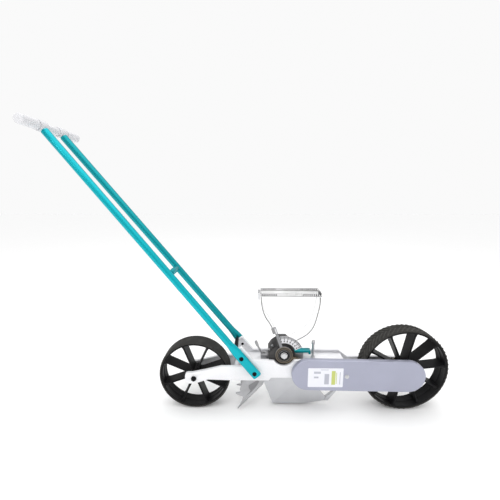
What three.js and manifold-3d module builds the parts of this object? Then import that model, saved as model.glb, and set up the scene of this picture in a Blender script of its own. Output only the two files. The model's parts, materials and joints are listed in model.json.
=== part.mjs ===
// Push seeder: a two-wheeled walk-behind planter. The front wheel turns a chain, a jackshaft and
// three gears, which turn the seed roller under a clear hopper. Millimetres, +X is forward (away
// from the operator), +Y is the side without the chain, +Z is up.
// Lengths along X are measured from the rear axle while the parts are made; the last lines move
// the whole group so that its origin is at the middle of its footprint, on the ground.
import * as THREE from "three";
import { mergeVertices } from "three/addons/utils/BufferGeometryUtils.js";
import Module from "manifold-3d";

const wasm = await Module();
wasm.setup();

// ---------- driving dimensions ----------
const GAP = 0.3; // between pieces that touch
const RUN = 0.3; // radial clearance of a turning fit

// wheels
const FRONT_R = 130;
const REAR_R = 109;
const WHEELBASE = 638;
const TYRE_W = 50;
const TREAD_T = 6; // rubber over the rim
const RIM_BAND_T = 4;
const RIM_W = 46;
const HUB_R = 17;
const HUB_W = 50;
const SPOKE_T = 6;
const SPOKE_W = 38; // depth of a spoke across the wheel
const FRONT_SPOKES = 10;
const REAR_SPOKES = 8;
const FRONT_PHASE = 6.6; // degrees above forward of one spoke
const REAR_PHASE = 20;
const FRONT_AXLE_R = 6;
const REAR_AXLE_R = 5;

// frame
const PLATE_OUT = 37.5; // outer face of each side plate from the middle
const PLATE_T = 2.5;
const FLANGE_W = 9.5; // depth of the side plates' turned rim
const FRAME_TOP = 169;
const FRAME_LOW = 104;
const FRAME_STEP_Z = 113.5; // lower edge ahead of the step
const FORK_TOP = 146;
const ARM_TOP = 148;
const DECK_TOP = 157;
const DECK_T = 2.5;
const CAP_R = 34; // round notch for the roller boss

// handle
const LEAN = 0.805; // how far back the handle goes for each millimetre up
const HANDLE_X = 124.3; // the handle's middle line at HANDLE_Z
const HANDLE_Z = 208;
const BAR_Z = 826;
const TUBE_R = 10;
const TUBE_WALL = 1.5;
const TUBE_TOP_Y = 37;
const FLAT_HALF = 6.5; // flattened lower end of a handle tube
const FLAT_WIDE = 13.5;
const BAR_R = 10;
const BAR_WALL = 2;
const BAR_HALF = 106;
const GRIP_R = 13;
const GRIP_LEN = 54;
const CROSSBAR_Z = 432;
const TIE_Z = 204;
const TIE_SLEEVE = 26; // half length of the sleeve on the tie rod
const HANDLE_BOLT_Z = [183, 135.5];
const BOLT_R = 4;

// drive
const TEETH = 22;
const MODULE = 2;
const GEAR_Y = -PLATE_OUT + 12.5; // the gears run just inside the near side plate
const GEAR_W = 5;
const FRONT_TEETH = 14;
const REAR_TEETH = 11;
const CHAIN_PITCH = 9.525;
const CHAIN_Y = -PLATE_OUT - 12; // the chain runs just outside it
const SPROCKET_T = 3;
const LINK_H = 8;
const LINK_IN = 2.2; // inner face of a link plate from the chain's middle
const LINK_T = 1;
const SHAFT_R = 5;
const ROLLER = { x: 270, z: 186 };
const JACK = { x: 339, z: 134 };

// seed metering
const SEED_ROLLER_R = 22;
const SEED_ROLLER_W = 36;
const HOUSING_HALF = PLATE_OUT - 6;
const HOUSING_R = 34;
const SCALE_IN = 36;
const SCALE_OUT = 58;

// hopper
const HOPPER_HALF = 25;
const HOPPER_WALL = 2.5;
const HOPPER_REAR = 201;
const HOPPER_FRONT = 374;
const HOPPER_RIM_Z = 364;
const LID_T = 8;

// chain cover
const COVER_R = 47.5;
const COVER_Y = CHAIN_Y - 8.5;
const COVER_DEPTH = 15;
const COVER_WALL = 1.5;

// soil tools
const OPENER_LOW = 9;
const OPENER_HALF = 12;
const SHEET_T = 2;
const COVERER_PIVOT = { x: 222, z: 95 };
const PIN_R = 3;

// bushes
const BUSH_R = 9;
const BUSH_LIP = 2;

// ---------- helpers ----------
const rad = THREE.MathUtils.degToRad;
const COLOURS = {
  teal: [0x0fb4c0, 0.3, 0.1],
  white: [0xf0f0f2, 0.4, 0.05],
  lilac: [0xb2b4c6, 0.35, 0.3],
  stainless: [0xc8cacd, 0.35, 0.9],
  steel: [0xb4b6b8, 0.35, 0.9],
  black_steel: [0x15161a, 0.45, 0.4],
  black_plastic: [0x141416, 0.5, 0],
  rubber: [0x2c2c2a, 0.85, 0],
  casting: [0x3c3a40, 0.55, 0.4],
  clear: [0xeef2f4, 0.1, 0],
  pale_plastic: [0xdcdedf, 0.45, 0],
  nylon: [0xf4efe2, 0.7, 0],
  brass: [0xb99a54, 0.35, 0.9],
  label: [0xf5f5f8, 0.5, 0],
};
const group = new THREE.Group();

function toSolid(geometry) {
  const bare = geometry.clone();
  bare.deleteAttribute("normal");
  bare.deleteAttribute("uv");
  const merged = mergeVertices(bare, 1e-3);
  return new wasm.Manifold(
    new wasm.Mesh({
      numProp: 3,
      vertProperties: merged.attributes.position.array,
      triVerts: new Uint32Array(merged.index.array),
    }),
  );
}

function toGeometry(solid) {
  const m = solid.getMesh();
  const positions = new Float32Array(m.numVert * 3);
  for (let i = 0; i < m.numVert; i++) {
    positions.set(m.vertProperties.subarray(i * m.numProp, i * m.numProp + 3), i * 3);
  }
  const g = new THREE.BufferGeometry();
  g.setAttribute("position", new THREE.BufferAttribute(positions, 3));
  g.setIndex(new THREE.BufferAttribute(new Uint32Array(m.triVerts), 1));
  g.computeVertexNormals();
  return g;
}

const join = (...geometries) =>
  toGeometry(geometries.map(toSolid).reduce((a, b) => a.add(b)));
const cut = (body, ...tools) =>
  toGeometry(tools.map(toSolid).reduce((a, b) => a.subtract(b), toSolid(body)));
const common = (a, b) => toGeometry(toSolid(a).intersect(toSolid(b)));

function add(name, geometry, colour) {
  const [color, roughness, metalness] = COLOURS[colour];
  const material = new THREE.MeshStandardMaterial({ color, roughness, metalness });
  if (colour === "clear") {
    material.transparent = true;
    material.opacity = 0.35;
  }
  const mesh = new THREE.Mesh(geometry, material);
  mesh.name = name;
  group.add(mesh);
  return mesh;
}

// An outline whose corners [x, z, radius] are rounded.
function outline(corners) {
  const shape = new THREE.Shape();
  const n = corners.length;
  corners.forEach(([x, z, r = 0], i) => {
    const here = new THREE.Vector2(x, z);
    const before = new THREE.Vector2(...corners[(i + n - 1) % n]).sub(here);
    const after = new THREE.Vector2(...corners[(i + 1) % n]).sub(here);
    const half = Math.abs(before.angleTo(after)) / 2;
    const reach = r / Math.tan(half);
    const start = here.clone().addScaledVector(before.normalize(), reach);
    const end = here.clone().addScaledVector(after.normalize(), reach);
    if (i === 0) shape.moveTo(start.x, start.y);
    else shape.lineTo(start.x, start.y);
    if (r > 0) shape.quadraticCurveTo(x, z, end.x, end.y);
  });
  shape.closePath();
  return shape;
}

// An XZ outline made solid between two Y planes.
function slab(shape, yFrom, yTo, curveSegments = 6) {
  const g = new THREE.ExtrudeGeometry(shape, {
    depth: yTo - yFrom,
    bevelEnabled: false,
    curveSegments,
  });
  return g.rotateX(Math.PI / 2).translate(0, yTo, 0);
}

// An XY outline made solid between two Z planes.
function prism(shape, zFrom, zTo, curveSegments = 6) {
  return new THREE.ExtrudeGeometry(shape, {
    depth: zTo - zFrom,
    bevelEnabled: false,
    curveSegments,
  }).translate(0, 0, zFrom);
}

const box = (x0, x1, y0, y1, z0, z1) =>
  new THREE.BoxGeometry(x1 - x0, y1 - y0, z1 - z0).translate(
    (x0 + x1) / 2,
    (y0 + y1) / 2,
    (z0 + z1) / 2,
  );

const rodY = (r, y0, y1, x, z, sides = 24) =>
  new THREE.CylinderGeometry(r, r, y1 - y0, sides).translate(x, (y0 + y1) / 2, z);

const rodZ = (r, z0, z1, x, y, sides = 20) =>
  new THREE.CylinderGeometry(r, r, z1 - z0, sides)
    .rotateX(Math.PI / 2)
    .translate(x, y, (z0 + z1) / 2);

// A ring or disc turned about the Y axis from [radius, y] points.
function turned(points, x, z, sides = 40) {
  const profile = points.map(([r, y]) => new THREE.Vector2(r, y));
  const closed = profile.concat(profile[0].x > 0 ? [profile[0].clone()] : []);
  const g = new THREE.LatheGeometry(closed, sides);
  return g.translate(x, 0, z);
}

function polygon(points) {
  return new THREE.Shape(points.map(([x, z]) => new THREE.Vector2(x, z)));
}

// The outline round two circles, as a belt lies on two pulleys.
function belt(a, ra, b, rb, steps = 16) {
  const dx = b.x - a.x;
  const dz = b.z - a.z;
  const along = Math.atan2(dz, dx);
  const spread = Math.acos((ra - rb) / Math.hypot(dx, dz));
  const points = [];
  for (let i = 0; i <= steps; i++) {
    const t = along + spread + ((2 * Math.PI - 2 * spread) * i) / steps;
    points.push([a.x + ra * Math.cos(t), a.z + ra * Math.sin(t)]);
  }
  for (let i = 0; i <= steps; i++) {
    const t = along - spread + (2 * spread * i) / steps;
    points.push([b.x + rb * Math.cos(t), b.z + rb * Math.sin(t)]);
  }
  return polygon(points);
}

// The same outline moved inwards by a wall's thickness.
function inset(shape, wall, curveSegments = 6) {
  const points = shape.getPoints(curveSegments).filter(
    (p, i, all) => p.distanceTo(all[(i + 1) % all.length]) > 1e-3,
  );
  const turn = Math.sign(THREE.ShapeUtils.area(points));
  const n = points.length;
  const moved = points.map((p, i) => {
    const a = p.clone().sub(points[(i + n - 1) % n]).normalize();
    const b = points[(i + 1) % n].clone().sub(p).normalize();
    const inward = new THREE.Vector2(-a.y - b.y, a.x + b.x).multiplyScalar(turn);
    const scale = wall / Math.max(0.3, (inward.length() / 2) ** 2) / 2;
    return p.clone().addScaledVector(inward, scale);
  });
  return new THREE.Shape(moved);
}

// A flat pattern of teeth round a centre.
function toothed(centre, teeth, rootR, tipR, phase, rootShare, tipShare) {
  const step = (2 * Math.PI) / teeth;
  const points = [];
  for (let i = 0; i < teeth; i++) {
    const t = phase + i * step;
    const corners = [
      [rootR, -rootShare / 2],
      [tipR, -tipShare / 2],
      [tipR, tipShare / 2],
      [rootR, rootShare / 2],
    ];
    for (const [r, share] of corners) {
      const angle = t + share * step;
      points.push([centre.x + r * Math.cos(angle), centre.z + r * Math.sin(angle)]);
    }
  }
  return polygon(points);
}

// A bolt along Y: hexagon head at yHead, shank to yEnd, hexagon nut just inside the end.
function bolt(x, z, yHead, yEnd, headR, nutY) {
  const way = Math.sign(yEnd - yHead);
  const headT = 5;
  const nutT = 6;
  const headBack = yHead + way * headT;
  const pieces = [
    rodY(headR, Math.min(yHead, headBack), Math.max(yHead, headBack), x, z, 6),
    rodY(BOLT_R, Math.min(headBack, yEnd) - 0.01, Math.max(headBack, yEnd) + 0.01, x, z, 16),
  ];
  if (nutY !== undefined) {
    const nutBack = nutY + way * nutT;
    pieces.push(rodY(headR, Math.min(nutY, nutBack), Math.max(nutY, nutBack), x, z, 6));
  }
  return join(...pieces);
}

const handleX = (z) => HANDLE_X - LEAN * (z - HANDLE_Z);
const SLOPE = Math.hypot(1, LEAN);
const ACROSS = new THREE.Vector2(1 / SLOPE, LEAN / SLOPE); // forward, square to the handle

// ---------- wheels ----------
function wheel(prefix, radius, x, spokes, phaseDegrees, axleR) {
  const z = radius;
  const h = TYRE_W / 2;
  const seat = radius - TREAD_T;
  const shoulder = 3;
  add(
    `${prefix}_tyre`,
    turned(
      [
        [seat, -h + 1],
        [seat + 1.5, -h],
        [radius - shoulder, -h + 0.8],
        [radius - 0.8, -h + shoulder],
        [radius, -h + 7],
        [radius, h - 7],
        [radius - 0.8, h - shoulder],
        [radius - shoulder, h - 0.8],
        [seat + 1.5, h],
        [seat, h - 1],
      ],
      x,
      z,
      56,
    ),
    "rubber",
  );
  const bandOut = seat - GAP;
  const bandIn = bandOut - RIM_BAND_T;
  const w = RIM_W / 2;
  const pieces = [
    turned([[bandIn, -w], [bandOut, -w], [bandOut, w], [bandIn, w]], x, z, 56),
    rodY(HUB_R, -HUB_W / 2, HUB_W / 2, x, z, 28),
  ];
  for (let i = 0; i < spokes; i++) {
    const spoke = new THREE.BoxGeometry(bandIn - HUB_R + 3, SPOKE_W, SPOKE_T)
      .translate((bandIn + HUB_R) / 2, 0, 0)
      .rotateY(-rad(phaseDegrees) - (i * 2 * Math.PI) / spokes)
      .translate(x, 0, z);
    pieces.push(spoke);
  }
  const bore = rodY(axleR, -HUB_W, HUB_W, x, z, 24);
  add(`${prefix}_rim`, cut(join(...pieces), bore), "black_plastic");
}
wheel("front", FRONT_R, WHEELBASE, FRONT_SPOKES, FRONT_PHASE, FRONT_AXLE_R + GAP);
wheel("rear", REAR_R, 0, REAR_SPOKES, REAR_PHASE, REAR_AXLE_R + RUN);
const FRONT = { x: WHEELBASE, z: FRONT_R };
const REAR = { x: 0, z: REAR_R };

// ---------- frame ----------
const UPRIGHT_HALF = 17;
const UPRIGHT_TOP_Z = 200.5;
const uprightTop = new THREE.Vector2(handleX(UPRIGHT_TOP_Z), UPRIGHT_TOP_Z);
const edgeX = (z, side) => handleX(z) + side * UPRIGHT_HALF * SLOPE;
const cornerOf = (side) => uprightTop.clone().addScaledVector(ACROSS, side * UPRIGHT_HALF);
const FORK_R = 23;

function sidePlateOutline() {
  const rearTop = cornerOf(-1);
  const frontTop = cornerOf(1);
  return outline([
    [-26, 92, 10],
    [-26, 127, 10],
    [-4, 127, 8],
    [38, 136.5, 10],
    [84, ARM_TOP, 12],
    [edgeX(ARM_TOP, -1), ARM_TOP, 5],
    [rearTop.x, rearTop.y, 4],
    [frontTop.x, frontTop.y, 4],
    [edgeX(FRAME_TOP, 1), FRAME_TOP, 5],
    [WHEELBASE - 189, FRAME_TOP, 6],
    [WHEELBASE - 160, FORK_TOP, 6],
    [WHEELBASE - 30, FORK_TOP, 14],
    [WHEELBASE + FORK_R, FRONT.z + 12, 12],
    [WHEELBASE + FORK_R, FRONT.z - 17, 14],
    [WHEELBASE - 20, FRAME_STEP_Z, 10],
    [232, FRAME_STEP_Z, 3],
    [226, FRAME_LOW, 3],
    [104, FRAME_LOW, 6],
    [42, FRAME_LOW + 2, 10],
    [2, 92, 8],
  ]);
}

// A ring segment between two radii; angles in degrees, anticlockwise from forward.
function arcBand(centre, rIn, rOut, from, to, steps = 14) {
  const points = [];
  const at = (r, i) => {
    const t = rad(from + ((to - from) * i) / steps);
    return [centre.x + r * Math.cos(t), centre.z + r * Math.sin(t)];
  };
  for (let i = 0; i <= steps; i++) points.push(at(rOut, i));
  for (let i = steps; i >= 0; i--) points.push(at(rIn, i));
  return polygon(points);
}

// A slab given by its depth range on the +Y side, mirrored to -Y where side is -1.
const sideSlab = (shape, side, near, far, curveSegments) =>
  slab(shape, Math.min(side * near, side * far), Math.max(side * near, side * far), curveSegments);

const PLATE_CURVE = 3; // segments to each rounded corner

// A side plate is a pressed sheet with its rim turned inwards; side is -1 near the chain.
function sidePlate(side) {
  const whole = sidePlateOutline();
  const rimIn = PLATE_OUT - FLANGE_W;
  const holeAt = (r, at, sides = 24) =>
    rodY(r, -2 * PLATE_OUT, 2 * PLATE_OUT, at.x, at.z, sides);
  const blank = sideSlab(whole, side, rimIn, PLATE_OUT, PLATE_CURVE);
  const pressed = sideSlab(
    inset(whole, PLATE_T, PLATE_CURVE),
    side,
    rimIn - 1,
    PLATE_OUT - PLATE_T,
    PLATE_CURVE,
  );
  return cut(
    blank,
    cut(pressed, holeAt(CAP_R + PLATE_T, ROLLER, 48)),
    holeAt(CAP_R, ROLLER, 48),
    holeAt(BUSH_R + GAP, FRONT),
    holeAt(REAR_AXLE_R + GAP, REAR),
    holeAt(SHAFT_R + RUN, JACK),
    ...HANDLE_BOLT_Z.map((z) => holeAt(BOLT_R + GAP, { x: handleX(z), z }, 16)),
  );
}
add("frame_plate_near", sidePlate(-1), "white");
add("frame_plate_far", sidePlate(1), "white");

// Decks join the side plates: a small one behind the seed unit, a long one ahead of it.
const DECK_HALF = PLATE_OUT - PLATE_T - GAP;
const REAR_DECK = [150, 224];
const FRONT_DECK = [304, 456];
const SIDE_LIP = 14;
function deck(x0, x1) {
  return join(
    box(x0, x1, -DECK_HALF, DECK_HALF, DECK_TOP - DECK_T, DECK_TOP),
    box(x0, x1, -DECK_HALF, -DECK_HALF + DECK_T, DECK_TOP - SIDE_LIP, DECK_TOP),
    box(x0, x1, DECK_HALF - DECK_T, DECK_HALF, DECK_TOP - SIDE_LIP, DECK_TOP),
  );
}
const GEAR_TIP = (MODULE * (TEETH + 2)) / 2;
const gearWell = box(
  FRONT_DECK[0] - 1,
  JACK.x + GEAR_TIP + 3,
  -DECK_HALF - 1,
  GEAR_Y + GEAR_W / 2 + 3,
  DECK_TOP - SIDE_LIP - 1,
  DECK_TOP + 1,
);
const POST = { x: 363, r: 4 };
add("rear_deck", deck(...REAR_DECK), "white");
add(
  "front_deck",
  cut(
    deck(...FRONT_DECK),
    gearWell,
    rodZ(POST.r + GAP, DECK_TOP - 10, DECK_TOP + 10, POST.x, 0),
    box(JACK.x - 8, JACK.x + 8, -50, 50, DECK_TOP - 40, JACK.z + 8),
  ),
  "white",
);

// A tube holds the plates apart ahead of the rear wheel.
const SPACER = { x: 127, z: 126, outer: 8, inner: 5 };
add(
  "frame_spacer",
  cut(
    rodY(SPACER.outer, -DECK_HALF, DECK_HALF, SPACER.x, SPACER.z),
    rodY(SPACER.inner, -DECK_HALF - 1, DECK_HALF + 1, SPACER.x, SPACER.z),
  ),
  "white",
);

// ---------- handle ----------
// A handle tube runs from its flattened, bolted foot up to the bar.
const FOOT_Y = PLATE_OUT + GAP + FLAT_HALF;
const tubeY = (z) => {
  const share = Math.max(0, (z - UPRIGHT_TOP_Z) / (BAR_Z - UPRIGHT_TOP_Z));
  return FOOT_Y - (FOOT_Y - TUBE_TOP_Y) * share;
};

// A closed solid through rings round the handle's line; a ring is [z, half depth, half width].
function alongHandle(rings, side, sides = 20) {
  const positions = [];
  const index = [];
  const place = (z, u, v) => {
    const x = handleX(z) + v * ACROSS.x;
    positions.push(x, side * tubeY(z) + u, z + v * ACROSS.y);
  };
  rings.forEach(([z, a, b]) => {
    for (let i = 0; i < sides; i++) {
      const t = (2 * Math.PI * i) / sides;
      place(z, a * Math.cos(t), b * Math.sin(t));
    }
  });
  for (let r = 0; r + 1 < rings.length; r++) {
    for (let i = 0; i < sides; i++) {
      const j = (i + 1) % sides;
      const here = r * sides;
      const above = here + sides;
      index.push(here + i, above + j, here + j, here + i, above + i, above + j);
    }
  }
  const last = (rings.length - 1) * sides;
  for (let i = 1; i + 1 < sides; i++) {
    index.push(0, i, i + 1, last, last + i + 1, last + i);
  }
  const g = new THREE.BufferGeometry();
  g.setAttribute("position", new THREE.Float32BufferAttribute(positions, 3));
  g.setIndex(index);
  return g;
}

const FOOT_END = 14; // tube beyond its lowest bolt
const footZ = HANDLE_BOLT_Z[1] - FOOT_END / SLOPE;
const SOCKET_R = BAR_R + 4.5;
const SOCKET_HALF = 12;
const SPIGOT_LEN = 30;
const tubeTopZ = BAR_Z - (SOCKET_R + 1) / SLOPE;
for (const [name, side] of [["near", -1], ["far", 1]]) {
  const inner = TUBE_R - TUBE_WALL;
  const tube = alongHandle(
    [
      [footZ, FLAT_HALF, FLAT_WIDE],
      [UPRIGHT_TOP_Z, FLAT_HALF, FLAT_WIDE],
      [UPRIGHT_TOP_Z + 28, TUBE_R, TUBE_R],
      [tubeTopZ, TUBE_R, TUBE_R],
    ],
    side,
  );
  const bore = alongHandle(
    [[UPRIGHT_TOP_Z + 30, inner, inner], [tubeTopZ + 10, inner, inner]],
    side,
  );
  const holes = HANDLE_BOLT_Z.map((z) => rodY(BOLT_R + GAP, -70, 70, handleX(z), z, 16));
  add(`handle_tube_${name}`, cut(tube, bore, ...holes), "teal");

  const footOut = PLATE_OUT + GAP + 2 * FLAT_HALF + GAP;
  HANDLE_BOLT_Z.forEach((z, i) => {
    const place = i ? "lower" : "upper";
    add(
      `handle_bolt_${name}_${place}`,
      bolt(handleX(z), z, side * (footOut + 5), side * (PLATE_OUT - PLATE_T - 1), 6.5),
      "black_steel",
    );
  });
}
const CROSS_R = 9;
const crossReach = tubeY(CROSSBAR_Z) - TUBE_R - GAP;
add(
  "handle_crossbar",
  rodY(CROSS_R, -crossReach, crossReach, handleX(CROSSBAR_Z), CROSSBAR_Z, 20),
  "teal",
);
const tieReach = FOOT_Y - FLAT_HALF - 1.2;
add(
  "handle_tie_rod",
  join(
    rodY(BOLT_R, -tieReach, tieReach, handleX(TIE_Z), TIE_Z, 16),
    rodY(BOLT_R + 2, -TIE_SLEEVE, TIE_SLEEVE, handleX(TIE_Z), TIE_Z, 20),
  ),
  "black_steel",
);

// The bar across the top, its two sockets and its grips.
const BAR_X = handleX(BAR_Z);
add(
  "handlebar",
  cut(
    rodY(BAR_R, -BAR_HALF, BAR_HALF, BAR_X, BAR_Z),
    rodY(BAR_R - BAR_WALL, -BAR_HALF - 1, BAR_HALF + 1, BAR_X, BAR_Z),
  ),
  "pale_plastic",
);
for (const [name, side] of [["near", -1], ["far", 1]]) {
  const y = side * TUBE_TOP_Y;
  const spigotR = TUBE_R - TUBE_WALL - GAP;
  const spigot = alongHandle(
    [[tubeTopZ - SPIGOT_LEN, spigotR, spigotR], [BAR_Z, spigotR, spigotR]],
    side,
  );
  add(
    `bar_socket_${name}`,
    cut(
      join(rodY(SOCKET_R, y - SOCKET_HALF, y + SOCKET_HALF, BAR_X, BAR_Z), spigot),
      rodY(BAR_R + GAP, y - 2 * SOCKET_HALF, y + 2 * SOCKET_HALF, BAR_X, BAR_Z),
    ),
    "pale_plastic",
  );
  const gripEnd = side * (BAR_HALF + 3);
  const gripStart = gripEnd - side * GRIP_LEN;
  const low = Math.min(gripEnd, gripStart);
  const high = Math.max(gripEnd, gripStart);
  const pocket = side > 0 ? [low - 1, BAR_HALF + GAP] : [-BAR_HALF - GAP, high + 1];
  add(
    `grip_${name}`,
    cut(rodY(GRIP_R, low, high, BAR_X, BAR_Z), rodY(BAR_R + GAP, ...pocket, BAR_X, BAR_Z)),
    "pale_plastic",
  );
}

// ---------- wheel axles ----------
const HEAD_R = 7.5;
const plateFaces = PLATE_OUT + GAP;
const bushFace = plateFaces + BUSH_LIP;
add(
  "rear_axle",
  bolt(REAR.x, REAR.z, -plateFaces - 5, plateFaces + 9, HEAD_R, plateFaces),
  "black_steel",
);
add(
  "front_axle",
  join(
    rodY(FRONT_AXLE_R, CHAIN_Y - 4, plateFaces + 4, FRONT.x, FRONT.z, 24),
    rodY(FRONT_AXLE_R + 3, bushFace + GAP, bushFace + 5, FRONT.x, FRONT.z, 24),
  ),
  "steel",
);
for (const [name, side] of [["near", -1], ["far", 1]]) {
  const lip = [side * plateFaces, side * (plateFaces + BUSH_LIP)];
  const body = [side * (PLATE_OUT - FLANGE_W + 1), side * (plateFaces + 1)];
  add(
    `front_bush_${name}`,
    cut(
      join(
        rodY(BUSH_R, Math.min(...body), Math.max(...body), FRONT.x, FRONT.z),
        rodY(BUSH_R + 3, Math.min(...lip), Math.max(...lip), FRONT.x, FRONT.z),
      ),
      rodY(FRONT_AXLE_R + RUN, -60, 60, FRONT.x, FRONT.z),
    ),
    "brass",
  );
}

// ---------- drive train ----------
const PITCH_R = (MODULE * TEETH) / 2;
const GEAR_ROOT = PITCH_R - 1.25 * MODULE;

// The idler sits one pitch diameter from both other gears, on the lower side of their line.
function idlerCentre() {
  const dx = JACK.x - ROLLER.x;
  const dz = JACK.z - ROLLER.z;
  const span = Math.hypot(dx, dz);
  const off = Math.sqrt((2 * PITCH_R) ** 2 - (span / 2) ** 2);
  return {
    x: (ROLLER.x + JACK.x) / 2 - (off * -dz) / span,
    z: (ROLLER.z + JACK.z) / 2 - (off * dx) / span,
  };
}
const IDLER = idlerCentre();
const bearing = (a, b) => Math.atan2(b.z - a.z, b.x - a.x);
const TOOTH_STEP = (2 * Math.PI) / TEETH;
const rollerPhase = bearing(ROLLER, IDLER);
const idlerPhase = rollerPhase + Math.PI + TOOTH_STEP / 2;
const idlerToJack = bearing(IDLER, JACK);
const jackPhase = 2 * idlerToJack + Math.PI + TOOTH_STEP / 2 - idlerPhase;

function gear(centre, phase, boreR) {
  const shape = toothed(centre, TEETH, GEAR_ROOT, GEAR_TIP, phase, 0.62, 0.2);
  const body = slab(shape, GEAR_Y - GEAR_W / 2, GEAR_Y + GEAR_W / 2);
  return cut(body, rodY(boreR, GEAR_Y - 20, GEAR_Y + 20, centre.x, centre.z));
}
add("roller_gear", gear(ROLLER, rollerPhase, SHAFT_R + GAP), "steel");
add("idler_gear", gear(IDLER, idlerPhase, SHAFT_R + RUN), "brass");
add("jackshaft_gear", gear(JACK, jackPhase, SHAFT_R + GAP), "steel");
const IDLER_PIN_END = GEAR_Y + GEAR_W / 2 + 1.2;
const IDLER_SHOULDER_R = 2 * PITCH_R - CAP_R - PLATE_T - 0.7; // clear of the notch's lip
add(
  "idler_pin",
  join(
    rodY(SHAFT_R, -PLATE_OUT + PLATE_T + GAP, IDLER_PIN_END, IDLER.x, IDLER.z),
    rodY(
      IDLER_SHOULDER_R,
      -PLATE_OUT + PLATE_T + GAP,
      GEAR_Y - GEAR_W / 2 - GAP,
      IDLER.x,
      IDLER.z,
    ),
    rodY(SHAFT_R + 2.5, GEAR_Y + GEAR_W / 2 + GAP, IDLER_PIN_END, IDLER.x, IDLER.z),
  ),
  "steel",
);
add(
  "jackshaft",
  join(
    rodY(SHAFT_R, CHAIN_Y - 4, PLATE_OUT + 4, JACK.x, JACK.z),
    rodY(SHAFT_R + 2.5, PLATE_OUT + GAP, PLATE_OUT + 4, JACK.x, JACK.z),
  ),
  "steel",
);

const pitchRadius = (teeth) => CHAIN_PITCH / (2 * Math.sin(Math.PI / teeth));
const FRONT_PR = pitchRadius(FRONT_TEETH);
const REAR_PR = pitchRadius(REAR_TEETH);
function sprocket(centre, teeth, pr, boreR) {
  const shape = toothed(centre, teeth, pr - 3.2, pr + 3, 0, 0.62, 0.22);
  const half = SPROCKET_T / 2;
  const hubFrom = -PLATE_OUT - BUSH_LIP - 2 * GAP;
  return cut(
    join(
      slab(shape, CHAIN_Y - half, CHAIN_Y + half),
      rodY(boreR + 4, CHAIN_Y, hubFrom, centre.x, centre.z),
    ),
    rodY(boreR, CHAIN_Y - 20, CHAIN_Y + 20, centre.x, centre.z),
  );
}
add("front_sprocket", sprocket(FRONT, FRONT_TEETH, FRONT_PR, FRONT_AXLE_R + GAP), "steel");
add("rear_sprocket", sprocket(JACK, REAR_TEETH, REAR_PR, SHAFT_R + GAP), "steel");

// The chain: two loops of link plates, with rollers between them on the straight runs only, so
// that the sprocket teeth pass freely.
function chain() {
  const half = LINK_H / 2;
  const hole = belt(JACK, REAR_PR - half, FRONT, FRONT_PR - half);
  const loop = belt(JACK, REAR_PR + half, FRONT, FRONT_PR + half);
  loop.holes.push(new THREE.Path(hole.getPoints()));
  const out = LINK_IN + LINK_T;
  const pieces = [
    slab(loop, CHAIN_Y - out, CHAIN_Y - LINK_IN),
    slab(loop, CHAIN_Y + LINK_IN, CHAIN_Y + out),
  ];
  const span = Math.hypot(FRONT.x - JACK.x, FRONT.z - JACK.z);
  const tilt = Math.asin((FRONT_PR - REAR_PR) / span);
  const line = bearing(JACK, FRONT);
  const run = span * Math.cos(tilt);
  const step = 2 * CHAIN_PITCH;
  for (const side of [-1, 1]) {
    const normal = line + side * (Math.PI / 2 + tilt);
    const way = line + side * tilt;
    for (let s = step; s < run - step; s += step) {
      const x = JACK.x + REAR_PR * Math.cos(normal) + s * Math.cos(way);
      const z = JACK.z + REAR_PR * Math.sin(normal) + s * Math.sin(way);
      pieces.push(rodY(2, CHAIN_Y - out, CHAIN_Y + out, x, z, 6));
    }
  }
  return join(...pieces);
}
add("chain", chain(), "steel");

// ---------- chain cover ----------
const COVER_FRONT = { x: WHEELBASE - 6, z: FRONT.z + 0.5 };
const COVER_POST = { x: 451, z: 132.5, r: 5, screw: 2.5 };
function chainCover() {
  const y1 = COVER_Y + COVER_DEPTH;
  const inner = COVER_R - COVER_WALL;
  const shell = slab(belt(JACK, COVER_R, COVER_FRONT, COVER_R, 20), COVER_Y, y1);
  const hollow = slab(belt(JACK, inner, COVER_FRONT, inner, 20), COVER_Y + COVER_WALL, y1 + 5);
  const hole = rodY(COVER_POST.screw + GAP, COVER_Y - 5, y1, COVER_POST.x, COVER_POST.z, 16);
  return cut(shell, hollow, hole);
}
add("chain_cover", chainCover(), "lilac");
add(
  "cover_post",
  cut(
    rodY(COVER_POST.r, COVER_Y + COVER_WALL + GAP, -PLATE_OUT - GAP, COVER_POST.x, COVER_POST.z, 16),
    rodY(COVER_POST.screw + GAP, COVER_Y - 1, -PLATE_OUT - 6, COVER_POST.x, COVER_POST.z, 16),
  ),
  "steel",
);
add(
  "cover_screw",
  join(
    rodY(4.5, COVER_Y - GAP - 2.5, COVER_Y - GAP, COVER_POST.x, COVER_POST.z, 16),
    rodY(COVER_POST.screw, COVER_Y - GAP - 1, COVER_Y + 12, COVER_POST.x, COVER_POST.z, 12),
  ),
  "steel",
);
const LABEL = { rear: JACK.x - 1, front: JACK.x + 101, low: 99, high: 159, r: 2, t: 0.4 };
add(
  "cover_label",
  slab(
    outline([
      [LABEL.rear, LABEL.low, LABEL.r],
      [LABEL.front, LABEL.low, LABEL.r],
      [LABEL.front, LABEL.high, LABEL.r],
      [LABEL.rear, LABEL.high, LABEL.r],
    ]),
    COVER_Y - GAP - LABEL.t,
    COVER_Y - GAP,
  ),
  "label",
);

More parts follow.
